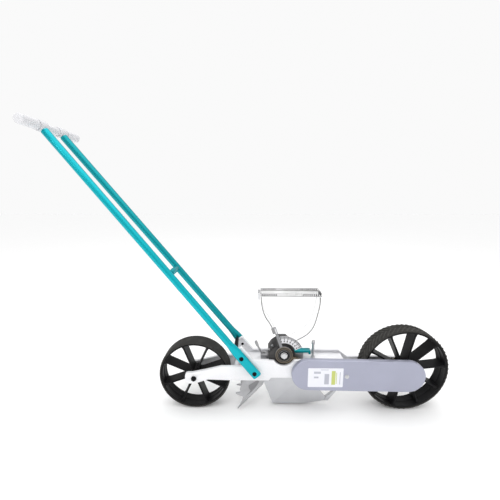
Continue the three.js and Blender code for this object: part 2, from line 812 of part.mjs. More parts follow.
// ---------- seed unit ----------
const HOUSING = { rear: 226, front: 300, low: 124, shoulder: 186, slope: 202, top: 220 };
const BETWEEN_RIMS = PLATE_OUT - FLANGE_W - GAP;
const CHAMBER_R = SEED_ROLLER_R + 1.5;
const CHAMBER_HALF = SEED_ROLLER_W / 2 + 1.5;
const INLET = { half: 14, depth: 16 };
const OUTLET_HALF = 10;
const NECK = { rear: 253, front: 318 };
function housing() {
  const block = slab(
    outline([
      [HOUSING.rear, FRAME_TOP + GAP, 0],
      [HOUSING.front, FRAME_TOP + GAP, 0],
      [HOUSING.front, ROLLER.z, 3],
      [ROLLER.x + 12, HOUSING.top, 4],
      [HOUSING.rear + 28, HOUSING.top, 1],
      [HOUSING.rear + 24, HOUSING.slope + 10, 2],
      [HOUSING.rear + 10, HOUSING.slope, 3],
      [HOUSING.rear, HOUSING.shoulder, 3],
    ]),
    -HOUSING_HALF,
    HOUSING_HALF,
  );
  const low = box(
    HOUSING.rear,
    HOUSING.front,
    -BETWEEN_RIMS,
    BETWEEN_RIMS,
    HOUSING.low,
    FRAME_TOP + 1,
  );
  const boss = rodY(HOUSING_R - 1, -HOUSING_HALF, HOUSING_HALF, ROLLER.x, ROLLER.z, 48);
  const chamber = rodY(CHAMBER_R, -CHAMBER_HALF, CHAMBER_HALF, ROLLER.x, ROLLER.z, 40);
  const inlet = box(
    ROLLER.x - INLET.half,
    ROLLER.x + INLET.half,
    -INLET.depth,
    INLET.depth,
    ROLLER.z,
    HOUSING.top + 1,
  );
  const outlet = box(
    ROLLER.x - OUTLET_HALF,
    ROLLER.x + OUTLET_HALF,
    -OUTLET_HALF,
    OUTLET_HALF,
    0,
    ROLLER.z,
  );
  const gearY0 = GEAR_Y - GEAR_W / 2 - 1.5;
  const gearY1 = GEAR_Y + GEAR_W / 2 + 1.5;
  const gearRoom = rodY(GEAR_TIP + 1.5, gearY0, gearY1, ROLLER.x, ROLLER.z, 40);
  const idlerRoom = rodY(GEAR_TIP + 1.5, -60, gearY1, IDLER.x, IDLER.z, 40);
  const shaft = rodY(SHAFT_R + RUN, -60, 60, ROLLER.x, ROLLER.z);
  return cut(join(block, low, boss), chamber, inlet, outlet, gearRoom, idlerRoom, shaft);
}
add("roller_housing", housing(), "casting");

function seedRoller() {
  const half = SEED_ROLLER_W / 2;
  const pockets = [];
  const count = 12;
  for (let i = 0; i < count; i++) {
    const t = (2 * Math.PI * i) / count;
    for (const y of [-8, 8]) {
      pockets.push(
        new THREE.CylinderGeometry(2.5, 2.5, 4, 8)
          .rotateZ(Math.PI / 2)
          .translate(SEED_ROLLER_R, 0, 0)
          .rotateY(t)
          .translate(ROLLER.x, y, ROLLER.z),
      );
    }
  }
  const bore = rodY(SHAFT_R + GAP, -half - 1, half + 1, ROLLER.x, ROLLER.z);
  return cut(rodY(SEED_ROLLER_R, -half, half, ROLLER.x, ROLLER.z, 40), bore, ...pockets);
}
add("seed_roller", seedRoller(), "nylon");

const LEVER_Y = -HOUSING_HALF - GAP;
const LEVER_T = 2;
const LEVER_ANGLE = 109;
const LEVER_HUB_R = 25.5;
const SCALE_T = 1.6;
function brushLever() {
  const arm = new THREE.BoxGeometry(74, LEVER_T, 8)
    .translate(55, 0, 0)
    .rotateY(-rad(LEVER_ANGLE))
    .translate(ROLLER.x, LEVER_Y - SCALE_T - LEVER_T / 2 - GAP, ROLLER.z);
  const hub = rodY(LEVER_HUB_R, LEVER_Y - 2 * LEVER_T - GAP, LEVER_Y, ROLLER.x, ROLLER.z, 40);
  const knob = new THREE.BoxGeometry(18, 3.5, 9)
    .translate(82, 0, 6)
    .rotateY(-rad(LEVER_ANGLE))
    .translate(ROLLER.x, LEVER_Y - SCALE_T - LEVER_T / 2 - GAP, ROLLER.z);
  return cut(join(hub, arm, knob), rodY(SHAFT_R + RUN, -60, 0, ROLLER.x, ROLLER.z));
}
add("brush_lever", brushLever(), "casting");
add(
  "scale_plate",
  slab(arcBand(ROLLER, SCALE_IN, SCALE_OUT, 24, 106, 20), LEVER_Y - SCALE_T, LEVER_Y),
  "pale_plastic",
);
const capY = LEVER_Y - 2 * LEVER_T - 2 * GAP;
add("roller_shaft", rodY(SHAFT_R, capY + GAP, HOUSING_HALF + 3, ROLLER.x, ROLLER.z), "steel");
add(
  "roller_cap",
  join(
    rodY(14.5, capY - 2, capY, ROLLER.x, ROLLER.z, 28),
    rodY(9.3, capY - 6.5, capY - 1.9, ROLLER.x, ROLLER.z, 6),
  ),
  "steel",
);
add(
  "brush",
  box(ROLLER.x + 8, ROLLER.x + INLET.half - GAP, -INLET.depth + GAP, INLET.depth - GAP,
    ROLLER.z + 21, ROLLER.z + 32),
  "nylon",
);
const CHUTE = { half: 9, wall: 2, low: 60, into: 12 };
const chuteIn = CHUTE.half - CHUTE.wall;
add(
  "seed_chute",
  cut(
    box(
      ROLLER.x - CHUTE.half,
      ROLLER.x + CHUTE.half,
      -CHUTE.half,
      CHUTE.half,
      CHUTE.low,
      HOUSING.low + CHUTE.into,
    ),
    box(ROLLER.x - chuteIn, ROLLER.x + chuteIn, -chuteIn, chuteIn, 0, HOUSING.top),
  ),
  "pale_plastic",
);

// The block and bracket that hold the seed unit to the front deck.
add("seed_unit_block", box(HOUSING.front + 4, 331, -12, 12, DECK_TOP + GAP, 178.6), "steel");
add(
  "clamp_bracket",
  join(box(HOUSING.front + 4.5, 354, -10, 10, 179, 185), box(348, 354, -10, 10, 174, 180)),
  "teal",
);

// ---------- hopper ----------
const HOUSING_TOP_FIT = HOUSING.top + 2 * GAP; // the hopper's mouth rests here
function hopperOutline(wall, extra) {
  const rear = HOPPER_REAR + wall;
  const front = HOPPER_FRONT - wall;
  const shape = new THREE.Shape();
  shape.moveTo(rear, HOPPER_RIM_Z + extra);
  shape.lineTo(rear, 352);
  shape.bezierCurveTo(rear + 2, 322, rear + 9, 300, rear + 24, 282);
  shape.lineTo(NECK.rear + wall, 228);
  shape.lineTo(NECK.rear + wall, HOUSING_TOP_FIT - extra);
  shape.lineTo(NECK.front - 20 - wall, HOUSING_TOP_FIT - extra);
  shape.lineTo(NECK.front - wall * 0.4, 232);
  shape.bezierCurveTo(front - 24, 248, front - 14, 270, front - 8, 300);
  shape.bezierCurveTo(front - 3, 322, front, 336, front, 352);
  shape.lineTo(front, HOPPER_RIM_Z + extra);
  shape.closePath();
  return shape;
}
const inside = HOPPER_HALF - HOPPER_WALL;
const rimBox = [HOPPER_REAR - 2, HOPPER_FRONT + 2, -HOPPER_HALF - 2, HOPPER_HALF + 2];
add(
  "hopper",
  cut(
    join(
      slab(hopperOutline(0, 0), -HOPPER_HALF, HOPPER_HALF, 10),
      box(...rimBox, HOPPER_RIM_Z - 3, HOPPER_RIM_Z),
    ),
    slab(hopperOutline(HOPPER_WALL, 5), -inside, inside, 10),
  ),
  "clear",
);
const LID_Z = HOPPER_RIM_Z + GAP;
const LID_HINGE = { x: HOPPER_REAR - 5, z: LID_Z + 3 };
const LID_PIN_R = 1.5;
function lid() {
  const reach = HOPPER_HALF + 2;
  const room = HOPPER_HALF - 1;
  const top = box(HOPPER_REAR - 1, HOPPER_FRONT + 3, -reach, reach, LID_Z, LID_Z + LID_T);
  const under = box(HOPPER_REAR + 2, HOPPER_FRONT, -room, room, LID_Z - 1, LID_Z + LID_T - 2);
  const barrel = rodY(4, -15, 15, LID_HINGE.x, LID_HINGE.z, 20);
  const web = box(LID_HINGE.x, HOPPER_REAR, -15, 15, LID_Z + 1, LID_Z + 5);
  const bore = rodY(LID_PIN_R + RUN, -20, 20, LID_HINGE.x, LID_HINGE.z, 16);
  return cut(join(cut(top, under), barrel, web), bore);
}
add("hopper_lid", lid(), "clear");
const EAR_FRONT = HOPPER_REAR - 2 - GAP;
const EAR_TOP = LID_HINGE.z + 2.4;
const EAR_LOW = HOPPER_RIM_Z - 12;
function hingeBracket() {
  const pin = rodY(LID_PIN_R, -22, 22, LID_HINGE.x, LID_HINGE.z, 16);
  const ears = [-1, 1].map((side) => {
    const a = side * 16;
    const b = side * 22;
    return box(LID_HINGE.x - 3, EAR_FRONT, Math.min(a, b), Math.max(a, b), EAR_LOW, EAR_TOP);
  });
  const bridge = box(LID_HINGE.x - 3, EAR_FRONT, -22, 22, EAR_LOW, EAR_LOW + 6);
  return join(...ears, bridge, pin);
}
add("lid_hinge", hingeBracket(), "pale_plastic");

// ---------- latch ----------
const LATCH = { x: 208, z: 166, half: 8, pin: 2 };
const LATCH_OUT = LATCH.half + 4;
const LATCH_SLOT = LATCH.half / 2 + GAP;
add(
  "latch_block",
  join(
    cut(
      box(LATCH.x - 6, HOUSING.rear - GAP, -LATCH_OUT, LATCH_OUT, DECK_TOP + GAP, LATCH.z + 7),
      box(LATCH.x - 7, LATCH.x + 9, -LATCH_SLOT, LATCH_SLOT, DECK_TOP + 2, LATCH.z + 14),
    ),
    rodY(LATCH.pin, -LATCH_OUT, LATCH_OUT, LATCH.x, LATCH.z, 16),
  ),
  "steel",
);
const LATCH_LEAN = 26;
function latchLever() {
  const arm = new THREE.BoxGeometry(4, LATCH.half, 50)
    .translate(0, 0, 25)
    .rotateY(-rad(LATCH_LEAN))
    .translate(LATCH.x, 0, LATCH.z);
  const tip = new THREE.BoxGeometry(7, LATCH.half + 4, 14)
    .translate(0, 0, 42)
    .rotateY(-rad(LATCH_LEAN))
    .translate(LATCH.x, 0, LATCH.z);
  const eye = rodY(4.5, -LATCH.half / 2, LATCH.half / 2, LATCH.x, LATCH.z);
  return cut(join(arm, tip, eye), rodY(LATCH.pin + RUN, -20, 20, LATCH.x, LATCH.z, 16));
}
add("latch_lever", latchLever(), "steel");

// ---------- furrow opener ----------
const TOE = { x: 417, z: OPENER_LOW + 4 };
const STAY_HALF = 5;

// A strap runs from the toe up to the front deck, and stops the opener there.
function stayOutline() {
  return outline([
    [TOE.x - 14, TOE.z + 1, 1],
    [TOE.x - 3, TOE.z + 1, 1],
    [TOE.x + 24, 50, 8],
    [TOE.x + 24, DECK_TOP - DECK_T - GAP, 1],
    [TOE.x + 20, DECK_TOP - DECK_T - GAP, 1],
    [TOE.x + 20, 52, 8],
    [TOE.x - 10, TOE.z + 12, 2],
  ]);
}
function openerBody() {
  const side = outline([
    [COVERER_PIVOT.x - 10, COVERER_PIVOT.z - 9, 4],
    [214, 76, 1],
    [239, OPENER_LOW, 3],
    [340, OPENER_LOW, 6],
    [TOE.x - 22, OPENER_LOW + 4, 4],
    [TOE.x, TOE.z, 2],
    [388, 46, 4],
    [352, 112, 4],
    [COVERER_PIVOT.x - 10, 112, 8],
  ]);
  const taper = (half, tip) => [
    [200, -half],
    [340, -half],
    [TOE.x - tip, -1],
    [TOE.x - tip, 1],
    [340, half],
    [200, half],
  ];
  const outer = common(
    slab(side, -OPENER_HALF - 5, OPENER_HALF + 5),
    prism(polygon(taper(OPENER_HALF, -2)), 0, 200),
  );
  const room = prism(polygon(taper(OPENER_HALF - SHEET_T, 26)), -1, 201);
  const bore = rodY(PIN_R + GAP, -20, 20, COVERER_PIVOT.x, COVERER_PIVOT.z, 16);
  return join(cut(outer, room, bore), slab(stayOutline(), -STAY_HALF, STAY_HALF));
}
add("furrow_opener", openerBody(), "stainless");

// The shank hangs the opener on its depth bolt, which slides through the front deck.
const SHANK = {
  half: OPENER_HALF - SHEET_T - GAP,
  low: 113,
  high: 124,
  rear: 320,
  tail: 339.5,
};
add(
  "opener_shank",
  cut(
    join(
      box(SHANK.rear, SHANK.tail, -SHANK.half, SHANK.half, SHANK.low - 30, SHANK.high),
      box(SHANK.rear, POST.x + 9, -SHANK.half, SHANK.half, SHANK.low, SHANK.high),
    ),
    rodZ(POST.r + GAP, SHANK.low - 1, SHANK.high + 1, POST.x, 0),
  ),
  "steel",
);
add(
  "depth_bolt",
  join(
    rodZ(POST.r, SHANK.low - 8, 214, POST.x, 0, 16),
    rodZ(5.5, 203, 214.5, POST.x, 0, 16),
    rodZ(6.5, SHANK.low - 6.5, SHANK.low - GAP, POST.x, 0, 6),
    rodZ(6.5, SHANK.high + GAP, SHANK.high + 6, POST.x, 0, 6),
  ),
  "steel",
);
add(
  "depth_nut",
  cut(
    rodZ(6.5, DECK_TOP + GAP, DECK_TOP + 6, POST.x, 0, 6),
    rodZ(POST.r + GAP, DECK_TOP, DECK_TOP + 7, POST.x, 0, 16),
  ),
  "steel",
);

// ---------- soil coverer ----------
// Two mirrored claws hang on a pin behind the opener and push the soil back over the seed.
const CLAW_T = 2.5;
const CLAW_TIP = { x: 131, z: 6 };
const CLAW_SPLAY = 20; // how far a tip stands out beyond the arm
const ARM_Y = OPENER_HALF + GAP;
add(
  "coverer_pin",
  join(
    rodY(PIN_R, -ARM_Y - CLAW_T - 4, ARM_Y + CLAW_T + 4, COVERER_PIVOT.x, COVERER_PIVOT.z, 16),
    rodY(5, ARM_Y + CLAW_T + GAP, ARM_Y + CLAW_T + 4, COVERER_PIVOT.x, COVERER_PIVOT.z, 6),
    rodY(5, -ARM_Y - CLAW_T - 4, -ARM_Y - CLAW_T - GAP, COVERER_PIVOT.x, COVERER_PIVOT.z, 6),
  ),
  "steel",
);

// A claw in side view: a strap back from the pivot, a round-backed blade with a short second
// prong to the rear, and a long point.
function clawShape() {
  const shape = new THREE.Shape();
  const { x, z } = COVERER_PIVOT;
  const tip = CLAW_TIP;
  shape.moveTo(x + 8, z + 5);
  shape.lineTo(x - 50, z + 5);
  shape.bezierCurveTo(x - 68, z + 3, x - 80, z - 14, tip.x + 7, tip.z + 54);
  shape.lineTo(tip.x + 9, tip.z + 47);
  shape.lineTo(tip.x - 6, tip.z + 44);
  shape.lineTo(tip.x - 5, tip.z + 41);
  shape.quadraticCurveTo(tip.x + 8, tip.z + 36, tip.x + 16, tip.z + 34);
  shape.quadraticCurveTo(tip.x + 15, tip.z + 20, tip.x, tip.z + 1);
  shape.lineTo(tip.x + 2, tip.z);
  shape.lineTo(x - 14, z - 21);
  shape.lineTo(x - 8, z - 8);
  shape.lineTo(x + 8, z - 8);
  shape.closePath();
  return shape;
}

// The long curved window between the blade's round back and its straight front edge.
function clawWindow() {
  const { x, z } = CLAW_TIP;
  const window = new THREE.Shape();
  window.moveTo(x + 62, z + 84);
  window.quadraticCurveTo(x + 46, z + 74, x + 34, z + 66);
  window.quadraticCurveTo(x + 32, z + 58, x + 39, z + 52);
  window.quadraticCurveTo(x + 38, z + 45, x + 25, z + 38);
  window.quadraticCurveTo(x + 38, z + 42, x + 46, z + 52);
  window.quadraticCurveTo(x + 60, z + 64, x + 67, z + 78);
  window.closePath();
  return window;
}

// The claw's blade bends outwards below the strap.
function claw(side) {
  const flat = cut(
    slab(clawShape(), ARM_Y, ARM_Y + CLAW_T, 8),
    slab(clawWindow(), 0, 30, 8),
    rodY(PIN_R + RUN, 0, 30, COVERER_PIVOT.x, COVERER_PIVOT.z, 16),
  );
  const foldZ = 74;
  const p = flat.getAttribute("position");
  for (let i = 0; i < p.count; i++) {
    const drop = Math.max(0, foldZ - p.getZ(i)) / (foldZ - CLAW_TIP.z);
    p.setY(i, side * (p.getY(i) + CLAW_SPLAY * drop));
  }
  if (side < 0) flat.setIndex([...flat.index.array].reverse());
  return flat;
}
add("coverer_claw_near", claw(-1), "stainless");
add("coverer_claw_far", claw(1), "stainless");

// ---------- the part's own frame ----------
const bounds = new THREE.Box3().setFromObject(group);
const middle = bounds.getCenter(new THREE.Vector3());
for (const mesh of group.children) {
  mesh.geometry.translate(-middle.x, -middle.y, -bounds.min.z);
}
export default group;
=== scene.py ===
"""Push seeder: the finer pieces, finishes, light and camera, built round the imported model."""
import json
import math
import random

import bmesh
import bpy
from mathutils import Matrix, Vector


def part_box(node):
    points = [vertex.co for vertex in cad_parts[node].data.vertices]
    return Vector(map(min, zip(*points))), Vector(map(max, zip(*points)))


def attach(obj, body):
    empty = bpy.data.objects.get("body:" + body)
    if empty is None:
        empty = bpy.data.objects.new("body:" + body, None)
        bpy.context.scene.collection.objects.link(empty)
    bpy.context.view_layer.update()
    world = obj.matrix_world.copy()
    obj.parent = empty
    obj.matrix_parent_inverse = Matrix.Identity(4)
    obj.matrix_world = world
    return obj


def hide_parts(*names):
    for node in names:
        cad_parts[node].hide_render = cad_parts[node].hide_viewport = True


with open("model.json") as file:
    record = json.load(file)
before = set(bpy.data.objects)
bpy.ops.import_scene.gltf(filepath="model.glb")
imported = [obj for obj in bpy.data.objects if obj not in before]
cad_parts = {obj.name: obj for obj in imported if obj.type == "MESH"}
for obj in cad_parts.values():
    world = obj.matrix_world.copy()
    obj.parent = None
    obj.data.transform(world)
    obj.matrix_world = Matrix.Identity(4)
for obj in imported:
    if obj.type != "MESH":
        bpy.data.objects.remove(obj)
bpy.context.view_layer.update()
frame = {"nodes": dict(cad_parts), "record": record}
nodes = frame["nodes"]
random.seed(11)

MM = 0.001
TURN = 2 * math.pi
SIDES = (("near", -1), ("far", 1))


def corners(node):
    """The low and high corners of a CAD node's box."""
    low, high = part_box(node)
    return Vector(low), Vector(high)


def centre(node):
    low, high = corners(node)
    return (low + high) / 2


def size(node):
    low, high = corners(node)
    return high - low


def ray(angle):
    """A unit vector in XZ, at an angle in radians anticlockwise from forward."""
    return Vector((math.cos(angle), 0, math.sin(angle)))


def quarter_turned(v):
    return Vector((-v.z, 0, v.x))


def squared(value, power):
    """A sine or cosine pushed towards its limits, to square off a round section."""
    return math.copysign(abs(value) ** power, value)


FRONT = centre("front_tyre")
REAR = centre("rear_tyre")
FRONT_R = size("front_tyre").z / 2
REAR_R = size("rear_tyre").z / 2
ROLLER = centre("seed_roller")
JACK = centre("jackshaft")


# ---------- finishes ----------
class Socket:
    """A shader socket that takes part in sums."""

    def __init__(self, graph, link):
        self.graph = graph
        self.link = link

    def sum(self, operation, a, b):
        return self.graph.node("ShaderNodeMath", {"operation": operation}, {0: a, 1: b})

    def __add__(self, other):
        return self.sum("ADD", self, other)

    __radd__ = __add__

    def __sub__(self, other):
        return self.sum("SUBTRACT", self, other)

    def __rsub__(self, other):
        return self.sum("SUBTRACT", other, self)

    def __mul__(self, other):
        return self.sum("MULTIPLY", self, other)

    __rmul__ = __mul__

    def __pow__(self, power):
        return self.sum("POWER", self, power)


class Graph:
    """A tree of shader nodes, each made by one method."""

    def __init__(self, owner):
        owner.use_nodes = True
        self.tree = owner.node_tree
        self.tree.nodes.clear()

    def put(self, socket, value):
        if isinstance(value, Socket):
            self.tree.links.new(value.link, socket)
        elif isinstance(value, tuple) and len(value) == 3 and socket.type == "RGBA":
            socket.default_value = (*value, 1)
        else:
            socket.default_value = value

    def node(self, kind, settings=None, sockets=None, output=0):
        made = self.tree.nodes.new(kind)
        for key, value in (settings or {}).items():
            if key == "stops":
                ramp = made.color_ramp
                ramp.elements[0].position, grey = value[0]
                ramp.elements[0].color = (grey, grey, grey, 1)
                ramp.elements[1].position, grey = value[-1]
                ramp.elements[1].color = (grey, grey, grey, 1)
            else:
                setattr(made, key, value)
        for key, value in (sockets or {}).items():
            self.put(made.inputs[key], value)
        return Socket(self, made.outputs[output])

    def finish_with(self, kind, shader):
        self.tree.links.new(shader, self.tree.nodes.new(kind).inputs[0])


class Finish(Graph):
    """A material on one Principled shader."""

    def __init__(self, name, **fixed):
        self.material = bpy.data.materials.new(name)
        super().__init__(self.material)
        self.shader = self.tree.nodes.new("ShaderNodeBsdfPrincipled")
        self.finish_with("ShaderNodeOutputMaterial", self.shader.outputs[0])
        for socket, value in fixed.items():
            self.set(socket.replace("_", " ").title().replace("Ior", "IOR"), value)

    def set(self, name, value):
        self.put(self.shader.inputs[name], value)

    def place(self, stretch=(1, 1, 1)):
        """Object coordinates, stretched."""
        spot = self.node("ShaderNodeTexCoord", output=3)
        return self.node("ShaderNodeMapping", {}, {"Vector": spot, "Scale": stretch})

    def noise(self, scale, detail=3.0, stretch=(1, 1, 1), rough=0.55):
        sockets = {
            "Vector": self.place(stretch), "Scale": scale, "Detail": detail, "Roughness": rough,
        }
        return self.node("ShaderNodeTexNoise", {}, sockets)

    def ramp(self, value, *stops):
        return self.node("ShaderNodeValToRGB", {"stops": stops}, {0: value})

    def mix(self, factor, first, second):
        settings = {"data_type": "RGBA"}
        return self.node("ShaderNodeMix", settings, {0: factor, 6: first, 7: second}, 2)

    def bump(self, height, strength, distance):
        sockets = {"Height": height, "Strength": strength, "Distance": distance}
        self.set("Normal", self.node("ShaderNodeBump", {}, sockets))

    def edges(self, low=0.52, high=0.62):
        """White along worn outer edges."""
        point = self.node("ShaderNodeNewGeometry", output=7)
        return self.ramp(point, (low, 0), (high, 1))


def shade(colour, by):
    return tuple(min(1, c * by) for c in colour)


def painted(name, colour, under=(0.55, 0.56, 0.57), rough=0.34, grain=0.25, worn=0.15, metal=0.0):
    """Powder coat: fine orange peel, faint blotches, edges worn towards the metal."""
    f = Finish(name, metallic=metal, coat_weight=0.08, coat_roughness=0.15, specular_ior_level=0.3)
    blotch = f.ramp(f.noise(9), (0.35, 0), (0.7, 1))
    tone = f.mix(blotch, shade(colour, 0.95), shade(colour, 1.03))
    speck = f.ramp(f.noise(420, 2), (0.58, 0), (0.68, 1))
    wear = f.edges() * speck * worn
    f.set("Base Color", f.mix(wear, tone, under))
    f.set("Roughness", rough + 0.05 * f.noise(60) + 0.15 * wear)
    f.bump(f.noise(1500, 2), grain, 0.0002)
    return f.material


def metal_sheet(name, colour, rough=0.3, grain=(1, 1, 60), strength=0.12):
    """Plain steel with a drawn grain."""
    f = Finish(name, metallic=0.9)
    lines = f.noise(90, 4, grain)
    smudge = f.ramp(f.noise(14), (0.35, 0), (0.7, 1))
    f.set("Base Color", f.mix(smudge, shade(colour, 0.9), colour))
    f.set("Roughness", rough + 0.16 * lines + 0.08 * smudge)
    f.bump(lines, strength, 0.0002)
    return f.material


def moulded(
    name, colour, rough=0.45, grain=0.3, scale=900, dust=(0.3, 0.29, 0.27), dusty=0.12, shine=0.4,
):
    """Moulded plastic or rubber: pebbled skin, paler scuffs."""
    f = Finish(name, specular_ior_level=shine)
    scuff = f.ramp(f.noise(40, 5), (0.5, 0), (0.75, 1)) * dusty
    f.set("Base Color", f.mix(scuff + f.edges() * dusty, colour, dust))
    f.set("Roughness", rough + 0.14 * f.noise(70))
    f.bump(f.noise(scale, 3), grain, 0.0003)
    return f.material


def cast(name, colour, worn=0.22):
    """Coated casting with a sandy skin."""
    f = Finish(name, metallic=0.1, specular_ior_level=0.22)
    f.set("Base Color", f.mix(f.edges() * worn, colour, (0.4, 0.39, 0.38)))
    f.set("Roughness", 0.42 + 0.2 * f.noise(120))
    f.bump(f.noise(700, 6), 0.5, 0.0006)
    return f.material


def clear(name, colour, base=0.025, rim=0.5, haze=0.02):
    """Clear moulded plastic: nearly unseen face on, greyer where it is seen along its wall."""
    f = Finish(name, ior=1.45, roughness=0.08, specular_ior_level=0.2)
    facing = f.node("ShaderNodeLayerWeight", {}, {"Blend": 0.35}, 1)
    cloud = f.ramp(f.noise(25, 4), (0.4, 0), (0.7, 1))
    f.set("Base Color", f.mix(cloud, colour, shade(colour, 0.85)))
    f.set("Alpha", base + haze * cloud + rim * facing ** 4)
    f.bump(f.noise(60, 2), 0.08, 0.0005)
    return f.material


WHITE = painted("white_paint", (0.86, 0.86, 0.88), rough=0.36, grain=0.08)
TEAL = painted("teal_paint", (0.0, 0.42, 0.49), rough=0.26, grain=0.02, worn=0.0, metal=0.5)
# The same teal paint made darker: painted shade on the far tube, the crossbar and the clamp bracket.
TEAL_PAINTED_SHADE = painted("teal_paint_painted_shade", (0.0, 0.31, 0.35), rough=0.26, grain=0.02, worn=0.0, metal=0.5)
LILAC = painted("lilac_paint", (0.385, 0.395, 0.49), rough=0.3, grain=0.08, metal=0.35)
STAINLESS = metal_sheet("stainless_sheet", (0.6, 0.605, 0.625))
CLAW_SHEET = metal_sheet("claw_sheet", (0.5, 0.5, 0.515), 0.38)
# The claw's sheet made darker for the sunk web in its window: painted shade.
CLAW_WEB_PAINTED_SHADE = metal_sheet("claw_web", (0.3, 0.3, 0.31), 0.45)
STEEL = metal_sheet("bright_steel", (0.62, 0.62, 0.63), 0.25, (1, 60, 1))
BLACK_STEEL = metal_sheet("black_oxide", (0.012, 0.012, 0.014), 0.42)
BRASS = metal_sheet("turned_brass", (0.42, 0.32, 0.15), 0.3, (1, 60, 1))
BRONZE = metal_sheet("dull_bronze", (0.22, 0.18, 0.13), 0.4, (1, 60, 1))
PLATED = metal_sheet("dull_plate", (0.42, 0.42, 0.43), 0.35, (1, 60, 1))
BLACK_PLASTIC = moulded(
    "black_moulding", (0.005, 0.005, 0.006), 0.42, 0.2, dust=(0.12, 0.12, 0.11), dusty=0.06, shine=0.14
)
RUBBER = moulded("tyre_rubber", (0.029, 0.028, 0.026), 0.68, 0.5, 500, dusty=0.08, shine=0.22)
PALE = moulded("pale_grip", (0.7, 0.7, 0.72), 0.45, 0.03, 300, (0.5, 0.5, 0.5), 0.02)
NYLON = moulded("natural_nylon", (0.8, 0.77, 0.68), 0.5, 0.1)
CASTING = cast("grey_casting", (0.012, 0.011, 0.012), 0.12)
CLEAR = clear("clear_hopper", (0.6, 0.61, 0.62))
LID_CLEAR = clear("clear_lid", (0.28, 0.28, 0.28), 0.12, 0.5, 0.1)
# Near-black lines on the clear plastic's edges, lid lips and ribs: painted shade for the darkening the
# clear wall shows there; the faint copy is the same painted shade on the far face.
CLEAR_EDGE_PAINTED_SHADE = clear("clear_edge_painted_shade", (0.035, 0.035, 0.04), 0.72, 0.25, 0.2)
FAINT_EDGE_PAINTED_SHADE = clear("faint_edge_painted_shade", (0.3, 0.3, 0.31), 0.12, 0.3, 0.08)
GREY_ARM = cast("grey_lever", (0.26, 0.26, 0.27))
PAPER = moulded("label_film", (0.83, 0.84, 0.9), 0.35, 0.05, 300, (0.7, 0.7, 0.74), 0.15)
INK = moulded("label_grey", (0.42, 0.43, 0.5), 0.4, 0.05, 300, (0.6, 0.6, 0.65), 0.2)
LIME = moulded("label_lime", (0.5, 0.56, 0.12), 0.4, 0.05, 300, (0.7, 0.74, 0.4), 0.2)


# ---------- making pieces ----------
def smooth(mesh, degrees=32):
    for face in mesh.polygons:
        face.use_smooth = True
    mesh.set_sharp_from_angle(angle=math.radians(degrees))


def piece(name, vertices, faces, material, body, degrees=32):
    """A piece from plain mesh data, riding on a CAD body."""
    mesh = bpy.data.meshes.new(name)
    mesh.from_pydata([tuple(v) for v in vertices], [], faces)
    bm = bmesh.new()
    bm.from_mesh(mesh)
    bmesh.ops.recalc_face_normals(bm, faces=bm.faces)
    bm.to_mesh(mesh)
    bm.free()
    smooth(mesh, degrees)
    mesh.materials.append(material)
    made = bpy.data.objects.new(name, mesh)
    bpy.context.scene.collection.objects.link(made)
    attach(made, body)
    return made


def soften(thing, width, segments=2, degrees=30):
    bevel = thing.modifiers.new("bevel", "BEVEL")
    bevel.width = width
    bevel.segments = segments
    bevel.limit_method = "ANGLE"
    bevel.angle_limit = math.radians(degrees)
    bevel.harden_normals = True
    return thing


def lathe(name, profile, at, material, body, turns=96, degrees=32):
    """A closed profile of (radius, y) turned about a line along Y."""
    vertices = []
    for i in range(turns):
        a = TURN * i / turns
        for r, y in profile:
            vertices.append((at.x + r * math.cos(a), at.y + y, at.z + r * math.sin(a)))
    n = len(profile)
    faces = []
    for i in range(turns):
        j = (i + 1) % turns
        for k in range(n):
            m = (k + 1) % n
            faces.append((i * n + k, j * n + k, j * n + m, i * n + m))
    return piece(name, vertices, faces, material, body, degrees)


def band_faces(first, rings, n):
    """The quads that join each ring of n points to the next; first is the first point's number."""
    faces = []
    for p in range(first, first + (rings - 1) * n, n):
        for k in range(n):
            m = (k + 1) % n
            faces.append((p + k, p + m, p + n + m, p + n + k))
    return faces


def slab(name, outline, y0, y1, material, body, degrees=32):
    """An (x, z) outline made solid between two Y planes."""
    n = len(outline)
    vertices = [(x, y0, z) for x, z in outline] + [(x, y1, z) for x, z in outline]
    faces = [tuple(range(n)), tuple(range(2 * n - 1, n - 1, -1))]
    faces += band_faces(0, 2, n)
    return piece(name, vertices, faces, material, body, degrees)


def loft(name, rings, material, body, degrees=32):
    """A skin through rings of equal count, capped at both ends."""
    n = len(rings[0])
    vertices = [v for ring in rings for v in ring]
    last = (len(rings) - 1) * n
    faces = band_faces(0, len(rings), n)
    faces.append(tuple(range(n)))
    faces.append(tuple(last + k for k in reversed(range(n))))
    return piece(name, vertices, faces, material, body, degrees)


def arc(at, r, start, end, steps):
    """Points (x, z) on an arc; degrees anticlockwise from forward."""
    points = []
    for i in range(steps + 1):
        a = math.radians(start + (end - start) * i / steps)
        points.append((at.x + r * math.cos(a), at.z + r * math.sin(a)))
    return points


def bezier(a, b, c, d, steps):
    points = []
    for i in range(steps + 1):
        t = i / steps
        s = 1 - t
        weights = (s ** 3, 3 * s * s * t, 3 * s * t * t, t ** 3)
        points.append(tuple(sum(w * p[k] for w, p in zip(weights, (a, b, c, d))) for k in (0, 1)))
    return points


def mirrored(points):
    """A profile of (r, y) for y < 0, completed on the other side."""
    return points + [(r, -y) for r, y in reversed(points)]


# ---------- wheels ----------
TYRE_T = 6 * MM
HALF_TYRE = size("rear_tyre").y / 2


def tyre_profile(r, crown):
    """Half of a tyre's section, mirrored; crown is how far the tread's ground sits below r."""
    h = HALF_TYRE
    return mirrored([
        (r - TYRE_T + 0.2 * MM, -h + 1.5 * MM),
        (r - TYRE_T + 1.2 * MM, -h),
        (r - 3.6 * MM, -h + 0.1 * MM),
        (r - 2.2 * MM - crown, -h + 1.2 * MM),
        (r - 0.9 * MM - crown, -h + 3.2 * MM),
        (r - 0.3 * MM - crown, -h + 6 * MM),
        (r - crown, -h + 10 * MM),
        (r - crown, -h + 18 * MM),
    ])


